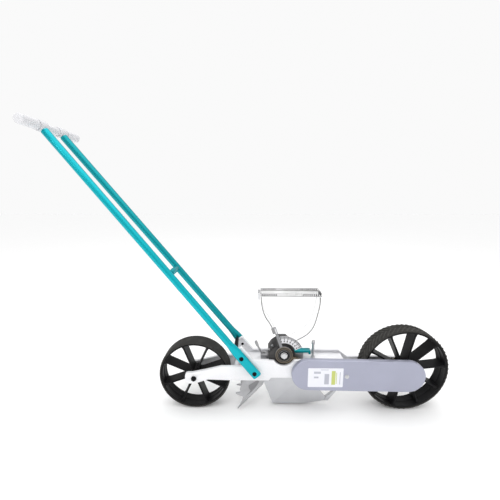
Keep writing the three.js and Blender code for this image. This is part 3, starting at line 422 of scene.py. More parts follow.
def lugs(name, at, r, count, height, material, body):
    """Slanted tread blocks in two rows that meet in a herringbone."""
    vertices = []
    faces = []
    section = ((-1, 0), (-0.72, 1), (0.72, 1), (1, 0))
    n = len(section)
    steps = 5
    sunk = 0.5 * MM
    width = TURN / count * 0.42
    lean = TURN / count * 1.5
    for side in (-1, 1):
        for i in range(count):
            first = len(vertices)
            start = TURN * (i + (0.5 if side > 0 else 0)) / count
            for s in range(steps):
                t = s / (steps - 1)
                y = side * (1.2 * MM + t * (HALF_TYRE - 3.4 * MM))
                drop = 1.1 * MM * max(0, t - 0.6) / 0.4
                a = start + lean * t
                for spread, rise in section:
                    rr = r - height - sunk + rise * (height + sunk) - drop
                    b = a + spread * width / 2
                    vertices.append((at.x + rr * math.cos(b), at.y + y, at.z + rr * math.sin(b)))
            end = first + (steps - 1) * n
            faces += band_faces(first, steps, n)
            faces.append(tuple(first + k for k in range(n)))
            faces.append(tuple(end + k for k in reversed(range(n))))
    return piece(name, vertices, faces, material, body, 20)


def spokes(name, at, inner, outer, count, phase, material, body):
    """Flat blades, deep across the wheel, flared where they meet the hub and the band."""
    vertices = []
    faces = []
    root = 0.14
    stations = (0, 0.06, root, 0.3, 0.7, 1 - root, 0.94, 1)
    section = ((-1, -1), (-0.2, -1), (0.2, -1), (1, -1), (1, 1), (0.2, 1), (-0.2, 1), (-1, 1))
    n = len(section)
    for i in range(count):
        out = ray(math.radians(phase) + TURN * i / count)
        side = quarter_turned(out)
        first = len(vertices)
        for t in stations:
            flare = max(0, 1 - t / root) ** 2 + max(0, 1 - (1 - t) / root) ** 2
            thick = (2.7 + 2.6 * flare) * MM
            deep = (18.6 + 1.4 * t) * MM
            middle = at + out * (inner + (outer - inner) * t)
            for u, v in section:
                edge = 1.15 if abs(u) < 0.5 else 1
                vertices.append(middle + side * thick * u + Vector((0, deep * v * edge ** 0.3, 0)))
        last = first + (len(stations) - 1) * n
        faces += band_faces(first, len(stations), n)
        faces.append(tuple(first + k for k in range(n)))
        faces.append(tuple(last + k for k in reversed(range(n))))
    return soften(piece(name, vertices, faces, material, body), 0.9 * MM)


def wheel(which, r, at, count, phase, tread):
    """A tyre, its rim band, a hub and blades; tread is the height of the tyre's blocks."""
    body = f"{which}_wheel"
    tyre = lathe(f"{which}_tyre_skin", tyre_profile(r, tread), at, RUBBER, body, 160)
    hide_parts(f"{which}_tyre")
    if tread:
        blocks = lugs(f"{which}_tread", at, r, 56, tread, RUBBER, body)
    seat = r - TYRE_T - 0.3 * MM
    w = 23 * MM
    band = lathe(
        f"{which}_rim_band",
        mirrored([
            (seat - 4.4 * MM, -w + 0.6 * MM),
            (seat - 3.6 * MM, -w),
            (seat - 0.6 * MM, -w),
            (seat, -w + 0.8 * MM),
            (seat, -w + 4 * MM),
        ]) + [
            (seat - 3.2 * MM, w - 3 * MM),
            (seat - 3.2 * MM, 3 * MM),
            (seat - 4.6 * MM, 1.5 * MM),
            (seat - 4.6 * MM, -1.5 * MM),
            (seat - 3.2 * MM, -3 * MM),
            (seat - 3.2 * MM, -w + 3 * MM),
        ],
        at, BLACK_PLASTIC, body, 160,
    )
    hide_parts(f"{which}_rim")
    bore = 6.6 * MM
    hub = lathe(
        f"{which}_hub",
        mirrored([
            (bore, -24.6 * MM),
            (11 * MM, -25 * MM),
            (11.8 * MM, -24.4 * MM),
            (12.4 * MM, -21 * MM),
            (15.6 * MM, -20.6 * MM),
            (17 * MM, -19.4 * MM),
            (17 * MM, -6 * MM),
        ]),
        at, BLACK_PLASTIC, body, 72,
    )
    blades = spokes(
        f"{which}_spokes", at, 15 * MM, seat - 3 * MM, count, phase, BLACK_PLASTIC, body
    )


wheel("front", FRONT_R, FRONT, 10, 6.6, 1.5 * MM)
wheel("rear", REAR_R, REAR, 8, 20, 0)


# ---------- handle ----------
LOW = centre("handle_bolt_near_lower")
BAR = centre("handlebar")
RISE = BAR - LOW
RISE.y = 0
ALONG = RISE.normalized()
ACROSS = Vector((ALONG.z, 0, -ALONG.x))
FLAT_HALF = 6.5 * MM


def tube_ring(z, y, half, wide, square, sides=40):
    """A ring round the handle's line at height z; square flattens its sides."""
    middle = LOW + ALONG * ((z - LOW.z) / ALONG.z)
    middle.y = y
    points = []
    for k in range(sides):
        a = TURN * k / sides
        u = squared(math.cos(a), square) * half
        v = squared(math.sin(a), square) * wide
        points.append(middle + Vector((0, u, 0)) + ACROSS * v)
    return points


def handle_tube(which, side):
    """A round tube with a flattened foot; sections are (z, half, wide, square)."""
    low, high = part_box(f"handle_tube_{which}")
    foot_y = side * (max(abs(low[1]), abs(high[1])) - FLAT_HALF)
    top_y = centre(f"bar_socket_{which}").y
    bend = 200.5 * MM
    reach = BAR.z - bend
    top = high[2] - 6 * MM

    def y_at(z):
        return foot_y + (top_y - foot_y) * max(0, z - bend) / reach

    foot = LOW.z - 11 * MM
    rings = []
    for z, half, wide, square in (
        (foot - 0.2 * MM, 5.4, 12.2, 0.75),
        (foot + 0.5 * MM, 6.3, 13.3, 0.7),
        (foot + 1.6 * MM, 6.5, 13.5, 0.66),
        (196 * MM, 6.5, 13.5, 0.66),
        (203 * MM, 6.7, 13.3, 0.7),
        (210 * MM, 7.4, 12.6, 0.8),
        (217 * MM, 8.6, 11.4, 0.9),
        (224 * MM, 9.7, 10.3, 0.98),
        (230 * MM, 10, 10, 1),
        (400 * MM, 10, 10, 1),
        (600 * MM, 10, 10, 1),
        (top, 10, 10, 1),
    ):
        rings.append(tube_ring(z, y_at(z), half * MM, wide * MM, square))
    # The far tube has the same paint as the near one; its darker teal is painted shade.
    paint = TEAL if side < 0 else TEAL_PAINTED_SHADE
    tube = loft(f"handle_tube_{which}_skin", rings, paint, "frame", degrees=40)
    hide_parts(f"handle_tube_{which}")


for which, side in SIDES:
    handle_tube(which, side)


def hexed(angle, flat):
    """The radius of a hexagon at an angle."""
    return flat / math.cos((angle + math.pi / 6) % (math.pi / 3) - math.pi / 6)


def button_head(name, at, side, r, tall, material, body):
    """A domed bolt head with a hexagon socket, facing out along Y."""
    turns = 48
    socket = 0.42 * r
    rings = [
        (r * 0.96, 0, False),
        (r, 0.12, False),
        (r, 0.3, False),
        (r * 0.93, 0.62, False),
        (r * 0.78, 0.86, False),
        (r * 0.62, 0.98, False),
        (socket, 1.0, True),
        (socket * 0.94, 0.94, True),
        (socket * 0.94, 0.35, True),
    ]
    vertices = []
    for radius, rise, hexagon in rings:
        for k in range(turns):
            a = TURN * k / turns
            rr = hexed(a, radius) if hexagon else radius
            y = at.y + side * tall * rise
            vertices.append((at.x + rr * math.cos(a), y, at.z + rr * math.sin(a)))
    faces = [tuple(reversed(range(turns)))]
    faces += band_faces(0, len(rings), turns)
    last = (len(rings) - 1) * turns
    faces.append(tuple(last + k for k in range(turns)))
    return piece(name, vertices, faces, material, body, 40)


def washer(name, at, side, inner, outer, thick, material, body):
    edge = 0.25 * thick
    return lathe(
        name,
        [(inner, 0), (outer - edge, 0), (outer, side * edge), (outer, side * (thick - edge)),
         (outer - edge, side * thick), (inner, side * thick)],
        at, material, body, 48,
    )


def outer_face(node, side):
    """The middle of a node's end face on one side along Y."""
    low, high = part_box(node)
    spot = centre(node)
    spot.y = high[1] if side > 0 else low[1]
    return spot


BOLT_HEAD_T = 5 * MM
DOMED_T = 5.3 * MM


def handle_bolt_head(which, side, place):
    """A domed head and a washer in place of the plain end of a handle bolt."""
    node = f"handle_bolt_{which}_{place}"
    face = centre(node)
    face.y = side * (max(abs(c[1]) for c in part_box(node)) - BOLT_HEAD_T)
    head = button_head(f"{node}_head", face, side, 6.9 * MM, DOMED_T, BLACK_STEEL, "frame")
    under = washer(f"{node}_washer", face, side, 3 * MM, 7.6 * MM, 1 * MM, BLACK_STEEL, "frame")


for which, side in SIDES:
    for place in ("upper", "lower"):
        handle_bolt_head(which, side, place)


def axle_head():
    face = outer_face("rear_axle", -1)
    face.y += BOLT_HEAD_T
    head = button_head("rear_axle_head", face, -1, 7.9 * MM, DOMED_T, BLACK_STEEL, "frame")


axle_head()


def grip(which, side):
    """A moulded grip: flange, finger rings and a rounded end."""
    low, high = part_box(f"grip_{which}")
    spot = centre(f"grip_{which}")
    inner = (low[1] if side > 0 else high[1]) - spot.y
    length = high[1] - low[1]
    bore = 10.4 * MM
    flange = 12.9 * MM
    valley = 11.7 * MM
    crest = 12.6 * MM
    profile = [(bore, inner + side * 0.3 * MM), (flange, inner + side * 0.3 * MM)]
    profile += [(flange, inner + side * 3 * MM), (11.9 * MM, inner + side * 4 * MM)]
    rings = 9
    step = (length - 9 * MM) / rings
    for i in range(rings):
        y = inner + side * (4.5 * MM + i * step)
        profile += [
            (valley, y),
            (crest, y + side * 0.3 * step),
            (crest, y + side * 0.7 * step),
            (valley, y + side * step),
        ]
    end = inner + side * (length - 0.2 * MM)
    inside = end - side * 2.4 * MM
    profile += [(12.7 * MM, end - side * 3.4 * MM), (12.4 * MM, end - side * 1.4 * MM)]
    profile += [(bore, end - side * 0.2 * MM), (4 * MM, end), (0.3 * MM, end)]
    profile += [(0.3 * MM, inside), (bore, inside)]
    made = lathe(f"grip_{which}_skin", profile, spot, PALE, "frame", 72, 25)
    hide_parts(f"grip_{which}")


for which, side in SIDES:
    grip(which, side)


# ---------- chain cover ----------
def stadium(a, b, r, steps=28):
    """The outline round two equal circles."""
    tilt = math.degrees(math.atan2(b.z - a.z, b.x - a.x))
    return arc(a, r, tilt + 90, tilt + 270, steps) + arc(b, r, tilt - 90, tilt + 90, steps)


def chain_cover():
    """A pressed cover, open at the back, its front edge rolled over."""
    low, high = corners("chain_cover")
    r = JACK.x - low.x
    ahead = Vector((high.x - r, 0, FRONT.z + 0.5 * MM))
    wall = 1.5
    front = low.y / MM
    back = high.y / MM
    rings = []
    for inset, y in (
        (wall + 2.4, front + wall),
        (wall + 0.7, front + wall + 0.6),
        (wall, front + wall + 2.2),
        (wall, back),
        (0.2, back),
        (0, back - 0.4),
        (0, front + 3.4),
        (0.5, front + 1.5),
        (1.6, front + 0.45),
        (3.2, front),
    ):
        edge = stadium(JACK, ahead, r - inset * MM)
        rings.append([Vector((x, y * MM, z)) for x, z in edge])
    made = loft("chain_cover_shell", rings, LILAC, "frame", degrees=50)
    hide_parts("chain_cover")


chain_cover()


def rounded(x0, x1, z0, z1, r, steps=5):
    """A rectangle in XZ with round corners."""
    points = []
    for x, z, start in ((x1, z1, 0), (x0, z1, 90), (x0, z0, 180), (x1, z0, 270)):
        middle = Vector((x + (r if x == x0 else -r), 0, z + (r if z == z0 else -r)))
        points += arc(middle, r, start, start + 90, steps)
    return points


def label():
    """A printed panel: generic bars in grey and lime, no lettering."""
    low, high = corners("cover_label")
    panel = slab(
        "label_panel", rounded(low.x, high.x, low.z, high.z, 2 * MM), low.y, high.y, PAPER, "frame"
    )
    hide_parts("cover_label")
    wide = high.x - low.x
    tall = high.z - low.z
    bars = (
        ("title", INK, 0.17, 0.36, 0.71, 0.82),
        ("line", INK, 0.17, 0.30, 0.47, 0.56),
        ("rule", INK, 0.36, 0.58, 0.90, 0.93),
        ("panel", INK, 0.47, 0.60, 0.15, 0.70),
        ("lime_tall", LIME, 0.67, 0.78, 0.13, 0.86),
        ("lime_short", LIME, 0.80, 0.82, 0.18, 0.78),
        ("edge_line", INK, 0.90, 0.92, 0.15, 0.80),
    )
    for name, ink, x0, x1, z0, z1 in bars:
        outline = rounded(
            low.x + x0 * wide, low.x + x1 * wide, low.z + z0 * tall, low.z + z1 * tall, 0.5 * MM
        )
        bar = slab(f"label_{name}", outline, low.y - 0.12 * MM, low.y + 0.1 * MM, ink, "frame")


label()


def cover_screw_head():
    face = outer_face("cover_screw", -1)
    face.y += 2.5 * MM
    head = button_head("cover_screw_head", face, -1, 4.6 * MM, 2.7 * MM, STEEL, "frame")
    under = washer("cover_screw_washer", face, -1, 2.6 * MM, 6.4 * MM, 0.7 * MM, STEEL, "frame")


cover_screw_head()


# ---------- chain ----------
PITCH = 9.525 * MM
TEETH = (11, 14)
LINK_END_R = 3.9 * MM
LINK_WAIST_R = 2.9 * MM
LINK_T = 0.7 * MM
BUSH_R = 2.4 * MM
PIN_R = 1.5 * MM


def chain_path():
    """Evenly spaced points round both sprockets, one for each pin."""
    radii = [PITCH / (2 * math.sin(math.pi / teeth)) for teeth in TEETH]
    ends = [Vector((JACK.x, 0, JACK.z)), Vector((FRONT.x, 0, FRONT.z))]
    line = ends[1] - ends[0]
    along = math.atan2(line.z, line.x)
    spread = math.acos((radii[0] - radii[1]) / line.length)
    steps = 120
    starts = (along + spread, along - spread)
    sweeps = (TURN - 2 * spread, 2 * spread)
    dense = []
    for middle, r, start, sweep in zip(ends, radii, starts, sweeps):
        for i in range(steps + 1):
            dense.append(middle + ray(start + sweep * i / steps) * r)
    dense.append(dense[0])
    lengths = [0]
    for a, b in zip(dense, dense[1:]):
        lengths.append(lengths[-1] + (b - a).length)
    count = 2 * round(lengths[-1] / PITCH / 2)
    points = []
    k = 0
    for i in range(count):
        goal = lengths[-1] * i / count
        while lengths[k + 1] < goal:
            k += 1
        t = (goal - lengths[k]) / (lengths[k + 1] - lengths[k])
        points.append(dense[k].lerp(dense[k + 1], t))
    return points


def link_outline(a, b):
    """A waisted plate between two pins."""
    along = math.degrees(math.atan2(b.z - a.z, b.x - a.x))
    middle = (a + b) / 2
    up = quarter_turned(b - a).normalized() * LINK_WAIST_R
    first = arc(a, LINK_END_R, along + 75, along + 285, 8)
    second = arc(b, LINK_END_R, along - 105, along + 105, 8)
    below = ((middle - up).x, (middle - up).z)
    above = ((middle + up).x, (middle + up).z)
    return first + [below] + second + [above]


def chain():
    """Inner and outer link plates in turn, with a bush and a pin at each joint."""
    points = chain_path()
    y = centre("chain").y
    vertices = []
    faces = []

    def solid(outline, y0, y1):
        n = len(outline)
        first = len(vertices)
        vertices.extend((x, y0, z) for x, z in outline)
        vertices.extend((x, y1, z) for x, z in outline)
        faces.append(tuple(first + k for k in range(n)))
        faces.append(tuple(first + 2 * n - 1 - k for k in range(n)))
        faces.extend(band_faces(first, 2, n))

    for i, a in enumerate(points):
        b = points[(i + 1) % len(points)]
        offset = (1.75 if i % 2 else 2.55) * MM
        for side in (-1, 1):
            inner = y + side * offset
            solid(link_outline(a, b), inner, inner + side * LINK_T)
        solid(arc(a, BUSH_R, 0, 345, 11), y - 1.6 * MM, y + 1.6 * MM)
        solid(arc(a, PIN_R, 0, 345, 9), y - 3.5 * MM, y + 3.5 * MM)
    made = piece("chain_links", vertices, faces, STEEL, "frame")
    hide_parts("chain")


chain()


# ---------- seed unit ----------
def radial_marks(name, y, marks, material, body, thick=0.25 * MM):
    """Short bars round the roller; a mark is (degrees, inner, outer, width) in millimetres."""
    vertices = []
    faces = []
    for degrees, inner, outer, width in marks:
        out = ray(math.radians(degrees))
        side = quarter_turned(out) * width * MM / 2
        first = len(vertices)
        for depth in (y - thick, y + 0.1 * MM):
            for r, s in ((inner, -1), (outer, -1), (outer, 1), (inner, 1)):
                spot = ROLLER + out * r * MM + side * s
                vertices.append((spot.x, depth, spot.z))
        for quad in ((0, 1, 2, 3), (7, 6, 5, 4), (0, 4, 5, 1), (1, 5, 6, 2), (2, 6, 7, 3), (3, 7, 4, 0)):
            faces.append(tuple(first + k for k in quad))
    return piece(name, vertices, faces, material, body)


def scale_face():
    """Fine and coarse ticks between two arcs, with no numbers."""
    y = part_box("scale_plate")[0][1]
    start = 24.5
    end = 105.5
    marks = []
    for i in range(25):
        long = i % 4 == 0
        marks.append((28 + i * 3.1, 46 if long else 50.5, 56.5, 1.6 if long else 1.05))
    for i in range(7):
        marks.append((30 + i * 12, 40, 44.5, 2.6))
    ticks = radial_marks("scale_marks", y, marks, BLACK_PLASTIC, "frame")
    for name, r in (("outer", 57.4), ("inner", 36.6)):
        band = arc(ROLLER, r * MM, start, end, 40)
        band += list(reversed(arc(ROLLER, (r - 0.9) * MM, start, end, 40)))
        line = slab(f"scale_{name}_line", band, y - 0.25 * MM, y + 0.1 * MM, BLACK_PLASTIC, "frame")


scale_face()


def ring(name, r_in, r_out, face, finish, slot, body):
    """A thin raised ring round the roller's axis, on a face at one place along Y."""
    spot = ROLLER.copy()
    spot.y = face
    made = lathe(
        name,
        [(r_in * MM, 0.2 * MM), ((r_in + 0.3) * MM, -0.3 * MM), ((r_out - 0.3) * MM, -0.3 * MM),
         (r_out * MM, 0.2 * MM)],
        spot, finish, body, 72,
    )


def lever_details():
    """Rings on the lever's hub and on the cap, and a pale sleeve on the lever's end."""
    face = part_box("brush_lever")[0][1]
    ring("lever_face", 14.9, 25.45, face, CASTING, "grey_casting", "brush_control")
    ring("lever_rim", 23.2, 25.3, face - 0.3 * MM, BRONZE, "grey_casting", "brush_control")
    ring("lever_land", 18.6, 20.2, face - 0.3 * MM, BRONZE, "grey_casting", "brush_control")
    cap_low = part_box("roller_cap")[0][1]
    ring("cap_washer", 9.9, 14.4, cap_low + 4.5 * MM, BLACK_STEEL, "bright_steel", "roller")
    out = ray(math.radians(109))
    across = quarter_turned(out)
    square = 0.7
    sides = 20
    rings = []
    for reach, half, deep in (
        (70.5, 4.1, 1.6), (71, 4.7, 2.0), (74, 5.0, 2.1), (86, 4.7, 2.1), (90, 3.9, 1.9), (91, 2.8, 1.2),
    ):
        at = ROLLER + out * reach * MM
        at.y = face + 2.7 * MM
        ring_points = []
        for k in range(sides):
            a = TURN * k / sides
            u = squared(math.cos(a), square) * half * MM
            v = squared(math.sin(a), square) * deep * MM
            ring_points.append(at + across * u + Vector((0, v, 0)))
        rings.append(ring_points)
    sleeve = loft("lever_sleeve", rings, PALE, "brush_control", degrees=40)


lever_details()


def housing_screws():
    """Two small screws that stand on the housing's rear slope."""
    low = Vector(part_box("roller_housing")[0])
    for name, ahead, up in (("low", 4.5, 190.5), ("high", 14, 203)):
        foot = Vector((low.x + ahead * MM, low.y + 12 * MM, up * MM))
        way = Vector((-0.62, 0, 0.78))
        sides = 18
        rings = []
        for reach, r in ((-2, 1.8), (5.5, 1.8), (5.6, 3.1), (6.2, 3.4), (8, 3.4), (8.6, 2.9)):
            ring_points = []
            for k in range(sides):
                a = TURN * k / sides
                across = Vector((way.z, 0, -way.x)) * math.cos(a) + Vector((0, 1, 0)) * math.sin(a)
                ring_points.append(foot + way * reach * MM + across * r * MM)
            rings.append(ring_points)
        screw = loft(f"housing_screw_{name}", rings, PLATED, "frame", degrees=40)


housing_screws()


def brush():
    """A block with rows of tapering bristles."""
    low, high = corners("brush")
    body = "frame"
    spine = high.z - 3 * MM
    rows = 14
    columns = 4
    sides = 5
    block = slab(
        "brush_spine",
        rounded(low.x, high.x, spine, high.z, 0.8 * MM),
        low.y, high.y, NYLON, body,
    )
    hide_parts("brush")
    vertices = []
    faces = []
    for i in range(rows):
        for j in range(columns):
            y = low.y + (i + 0.5) * (high.y - low.y) / rows
            x = low.x + (j + 0.5) * (high.x - low.x) / columns
            tip = Vector((
                x + random.uniform(-0.3, 0.3) * MM,
                y + random.uniform(-0.4, 0.4) * MM,
                low.z + random.uniform(0, 0.8) * MM,
            ))
            first = len(vertices)
            for k in range(sides):
                a = TURN * k / sides
                vertices.append((x + 0.6 * MM * math.cos(a), y + 0.8 * MM * math.sin(a), spine))
            vertices.append(tuple(tip))
            faces.append(tuple(first + k for k in range(sides)))
            faces += [(first + k, first + (k + 1) % sides, first + sides) for k in range(sides)]
    tufts = piece("brush_tufts", vertices, faces, NYLON, body)


brush()


# ---------- hopper ----------
def hopper_sides():
    """The hopper's rear and front edges seen from the side, from the rim down to the mouth."""
    low, high = corners("hopper")
    rear = low.x + 2 * MM
    front = high.x - 2 * MM
    mouth = low.z
    rim = high.z - 3 * MM
    shoulder = high.z - 12 * MM
    foot = (rear + 24 * MM, 282 * MM)
    waist = (front - 8 * MM, 300 * MM)
    back = [(rear, rim), (rear, shoulder)]
    back += bezier(
        (rear, shoulder), (rear + 2 * MM, 322 * MM), (rear + 9 * MM, 300 * MM), foot, 14
    )[1:]
    back += [(rear + 52 * MM, 228 * MM), (rear + 52 * MM, mouth)]
    ahead = [(front, rim), (front, shoulder)]
    ahead += bezier(
        (front, shoulder), (front, 336 * MM), (front - 3 * MM, 322 * MM), waist, 10
    )[1:]
    ahead += bezier(
        waist, (front - 14 * MM, 270 * MM), (front - 24 * MM, 248 * MM), (front - 56 * MM, 232 * MM), 12
    )[1:]
    ahead += [(front - 76 * MM, mouth)]
    return back, ahead


def inward(path, wide, side):
    """The same path moved sideways in XZ, to give a band its other edge."""
    moved = []
    for i, (x, z) in enumerate(path):
        a = path[max(0, i - 1)]
        b = path[min(len(path) - 1, i + 1)]
        dx, dz = b[0] - a[0], b[1] - a[1]
        long = math.hypot(dx, dz)
        moved.append((x - side * wide * dz / long, z + side * wide * dx / long))
    return moved


def hopper_beads():
    """A slim bead down each edge of the two broad faces, where the wall turns the corner; its dark
    colour is painted shade, fainter on the far face.
    """
    high_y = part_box("hopper")[1][1] - 2 * MM
    for name, path, side in zip(("rear", "front"), hopper_sides(), (1, -1)):
        near = inward(path, 0.1 * MM, side)
        far = inward(path, 2.3 * MM, side)
        n = len(path)
        for which, face in (("near", -high_y), ("far", high_y)):
            out = math.copysign(0.35 * MM, face)
            vertices = []
            for y in (face - out * 0.4, face + out):
                vertices += [(x, y, z) for x, z in near] + [(x, y, z) for x, z in far]
            faces = []
            for k in range(n - 1):
                a, b, c, d = k, k + 1, n + k + 1, n + k
                faces += [(a, b, c, d), tuple(2 * n + i for i in (d, c, b, a))]
                faces += [(a, 2 * n + a, 2 * n + b, b), (d, c, 2 * n + c, 2 * n + d)]
            for k in (0, n - 1):
                faces.append((k, n + k, 3 * n + k, 2 * n + k))
            # Dark near beads and faint far beads: painted shade along the clear wall's edges.
            edge = CLEAR_EDGE_PAINTED_SHADE if which == "near" else FAINT_EDGE_PAINTED_SHADE
            bead = piece(f"hopper_bead_{name}_{which}", vertices, faces, edge, "frame")


hopper_beads()


def lid_lines():
    """The lid's lower lip and thin top line, on both sides, dark with painted shade."""
    low, high = corners("hopper_lid")
    face = high.y
    start = low.x + 8 * MM
    for name, z0, z1 in (
        ("lip", low.z + 0.8 * MM, low.z + 2.2 * MM),
        ("top", high.z - 1.1 * MM, high.z - 0.4 * MM),
    ):
        for which, side in SIDES:
            y0, y1 = sorted((side * (face - 0.3 * MM), side * (face + 0.4 * MM)))
            outline = rounded(start, high.x, z0, z1, 0.25 * MM, 3)
            line = slab(f"lid_{name}_{which}", outline, y0, y1, CLEAR_EDGE_PAINTED_SHADE, "lid")


lid_lines()


def lid_ribs():
    """Grip ribs at both ends of the lid's long sides."""
    low, high = corners("hopper_lid")
    vertices = []
    faces = []

    def block(x0, x1, y0, y1, z0, z1):
        first = len(vertices)
        for x in (x0, x1):
            for y in (y0, y1):
                for z in (z0, z1):
                    vertices.append((x, y, z))
        for quad in ((0, 1, 3, 2), (4, 6, 7, 5), (0, 4, 5, 1), (2, 3, 7, 6), (0, 2, 6, 4), (1, 5, 7, 3)):
            faces.append(tuple(first + k for k in quad))

    start = low.x + 12 * MM
    for side in (-1, 1):
        face = side * high.y
        for i in range(9):
            for x in (start + i * 5 * MM, high.x - 6 * MM - i * 6 * MM):
                y0, y1 = sorted((face - side * 0.2 * MM, face + side * 0.7 * MM))
                block(x, x + 2.2 * MM, y0, y1, low.z + 2.4 * MM, high.z - 1.4 * MM)
    # The ribs are dark with painted shade.
    made = piece("lid_ribs", vertices, faces, CLEAR_EDGE_PAINTED_SHADE, "lid")


lid_ribs()


def catch():
    """The dark latch at the lid's front edge."""
    low, high = corners("hopper_lid")
    outline = rounded(high.x - 4 * MM, high.x + 1.4 * MM, low.z - 1 * MM, high.z - 3 * MM, 1.2 * MM)
    made = slab("lid_catch", outline, -9 * MM, 9 * MM, BLACK_PLASTIC, "lid")
    soften(made, 0.5 * MM)


catch()


# ---------- soil coverer ----------
CLAW_FOLD = 74 * MM
CLAW_TIP_Z = 6 * MM
CLAW_FACE_Y = 12.3 * MM
CLAW_SPLAY = 20 * MM


def claw_face(side, z, proud):
    """Where a claw's sheet lies along Y at height z, its blade bent outwards under the fold."""
    drop = max(0, CLAW_FOLD - z) / (CLAW_FOLD - CLAW_TIP_Z)
    return side * (CLAW_FACE_Y + CLAW_SPLAY * drop + proud)


def claw_layers(which, side):
    """The sunk web in a claw's window, darker than the claw's sheet as painted shade, and the pressed
    rib along its front edge.

    Heights and distances ahead of the rear axle are in millimetres.
    """
    body = f"claw_{which}"
    web = []
    for z, rear, front in (
        (42, 153, 158), (47, 153, 172), (52, 160, 178), (58, 163, 184), (66, 160, 190),
        (74, 161, 196), (80, 171, 200), (86, 181, 203), (91, 189, 200),
    ):
        back = claw_face(side, z * MM, 0.5 * MM)
        face = claw_face(side, z * MM, 1.3 * MM)
        outline = ((rear, back), (front, back), (front, face), (rear, face))
        web.append([Vector((REAR.x + x * MM, y, z * MM)) for x, y in outline])
    rib = []
    for t in (0, 0.03, 0.3, 0.6, 0.86, 0.93, 0.97, 1):
        x = 141 + t * 58
        z = 18.5 + t * 55.5
        half, lift = (0.4, 2.4) if t in (0, 1) else (1.7, 3.4)
        foot = claw_face(side, z * MM, 2.2 * MM)
        crest = claw_face(side, z * MM, lift * MM)
        ring_points = []
        for u, y in ((-half, foot), (half, foot), (half * 0.55, crest), (-half * 0.55, crest)):
            ring_points.append(Vector((REAR.x + (x - u * 0.7) * MM, y, (z + u * 0.72) * MM)))
        rib.append(ring_points)
    for name, rings, finish in (("web", web, CLAW_WEB_PAINTED_SHADE), ("rib", rib, CLAW_SHEET)):
        made = loft(f"claw_{which}_{name}", rings, finish, body)


for which, side in SIDES:
    claw_layers(which, side)


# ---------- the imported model's own nodes ----------
# For each slot: its finish, and how far its edges are rounded, in millimetres.
CAD_FINISHES = {
    "white_paint": (WHITE, 0.7),
    "teal_paint": (TEAL, 0.8),
    "lilac_paint": (LILAC, 0.8),
    "stainless": (STAINLESS, 0.35),
    "bright_steel": (STEEL, 0.35),
    "black_steel": (BLACK_STEEL, 0.4),
    "black_plastic": (BLACK_PLASTIC, 0.8),
    "tyre_rubber": (RUBBER, 0.8),
    "grey_casting": (CASTING, 0.8),
    "clear_plastic": (CLEAR, 0.5),
    "pale_plastic": (PALE, 0.5),
    "nylon": (NYLON, 0.3),
    "brass": (BRASS, 0.3),
    "label_face": (PAPER, 0.1),
}

NODE_FINISHES = {
    "hopper_lid": LID_CLEAR,
    # The clamp bracket's darker teal is painted shade.
    "clamp_bracket": TEAL_PAINTED_SHADE,
    "coverer_claw_near": CLAW_SHEET,
    "coverer_claw_far": CLAW_SHEET,
    "brush_lever": GREY_ARM,
    "idler_gear": BRONZE,
    "latch_lever": PLATED,
    "latch_block": PLATED,
    "seed_unit_block": PLATED,
    # The crossbar's darker teal is painted shade.
    "handle_crossbar": TEAL_PAINTED_SHADE,
}


def dress(node, slot):
    """Gives a CAD node its finish and small rounded edges."""
    finish, width = CAD_FINISHES[slot]
    finish = NODE_FINISHES.get(node, finish)
    thing = nodes[node]
    thing.data.materials.clear()
    thing.data.materials.append(finish)
    for face in thing.data.polygons:
        face.use_smooth = True
    weld = thing.modifiers.new("weld", "WELD")
    weld.merge_threshold = 0.01 * MM
    soften(thing, width * MM)


for part in frame["record"]["subparts"]:
    dress(part["node"], part["material_slot"])


# ---------- floor, light and camera ----------
def floor():
    """A pale floor, just under the wheels."""
    f = Finish("studio_floor", roughness=0.85)
    f.set("Base Color", f.mix(f.noise(3), (0.97, 0.97, 0.97), (0.99, 0.99, 0.99)))
    mesh = bpy.data.meshes.new("studio_floor")
    half = 14
    outline = [(-half, -half, 0), (half, -half, 0), (half, half, 0), (-half, half, 0)]
    mesh.from_pydata(outline, [], [(0, 1, 2, 3)])
    mesh.materials.append(f.material)
    made = bpy.data.objects.new("studio_floor", mesh)
    bpy.context.scene.collection.objects.link(made)
    made.location.z = -1 * MM


floor()


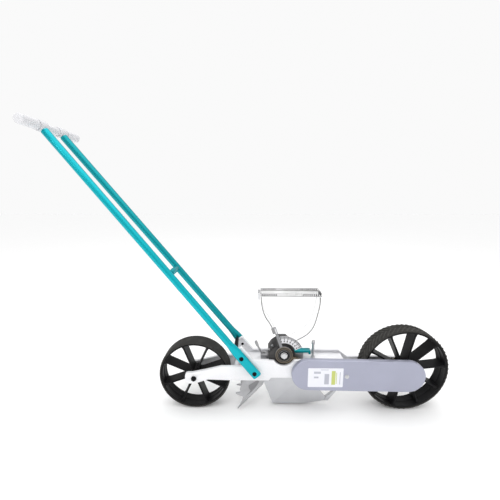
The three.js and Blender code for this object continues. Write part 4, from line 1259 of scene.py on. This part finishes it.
def panel_light(name, at, aim, wide, tall, watts):
    lamp = bpy.data.lights.new(name, "AREA")
    lamp.shape = "RECTANGLE"
    lamp.size = wide
    lamp.size_y = tall
    lamp.energy = watts
    made = bpy.data.objects.new(name, lamp)
    made.location = at
    made.rotation_euler = (Vector(aim) - Vector(at)).to_track_quat("-Z", "Y").to_euler()
    bpy.context.scene.collection.objects.link(made)


panel_light("soft_top", (0, -0.4, 2.6), (0, 0, 0.2), 3.0, 3.0, 22)
panel_light("soft_front", (-1.5, -2.0, 2.2), (-0.1, 0, 0.35), 0.5, 1.6, 16)
panel_light("soft_right", (2.4, -0.9, 1.2), (0, 0, 0.25), 1.6, 1.6, 4)


def sky():
    """A white studio dome: darker near the horizon for the pieces, even for the eye."""
    world = bpy.data.worlds.new("studio")
    bpy.context.scene.world = world
    graph = Graph(world)
    where = graph.node("ShaderNodeTexCoord")
    up = graph.node("ShaderNodeSeparateXYZ", {}, {0: where}, 2)
    dome = graph.node("ShaderNodeBackground", {}, {"Color": (1, 1, 1), "Strength": 0.42 + 0.85 * up})
    seen = graph.node("ShaderNodeBackground", {}, {"Color": (0.955, 0.955, 0.955)})
    eye = graph.node("ShaderNodeLightPath")
    pick = graph.node("ShaderNodeMixShader", {}, {0: eye, 1: dome, 2: seen})
    graph.finish_with("ShaderNodeOutputWorld", pick.link)


bpy.context.scene.view_settings.view_transform = "Standard"
sky()

# The camera's place from the rear axle, in metres, and the way it looks: DOWN in radians.
CAMERA_AHEAD = 0.179
CAMERA_BACK = 0.7987
CAMERA_UP = 0.6322
DOWN = 0.1702
ASIDE = 0.0126
LENS = 20.13


def camera():
    eye = bpy.data.cameras.new("camera")
    eye.lens = LENS
    eye.sensor_width = 36
    eye.clip_start = 0.01
    holder = bpy.data.objects.new("camera", eye)
    holder.location = (REAR.x + CAMERA_AHEAD, -CAMERA_BACK, CAMERA_UP)
    look = Vector((-ASIDE, 1, -math.tan(DOWN)))
    holder.rotation_euler = look.to_track_quat("-Z", "Y").to_euler()
    bpy.context.scene.collection.objects.link(holder)
    bpy.context.scene.camera = holder


camera()
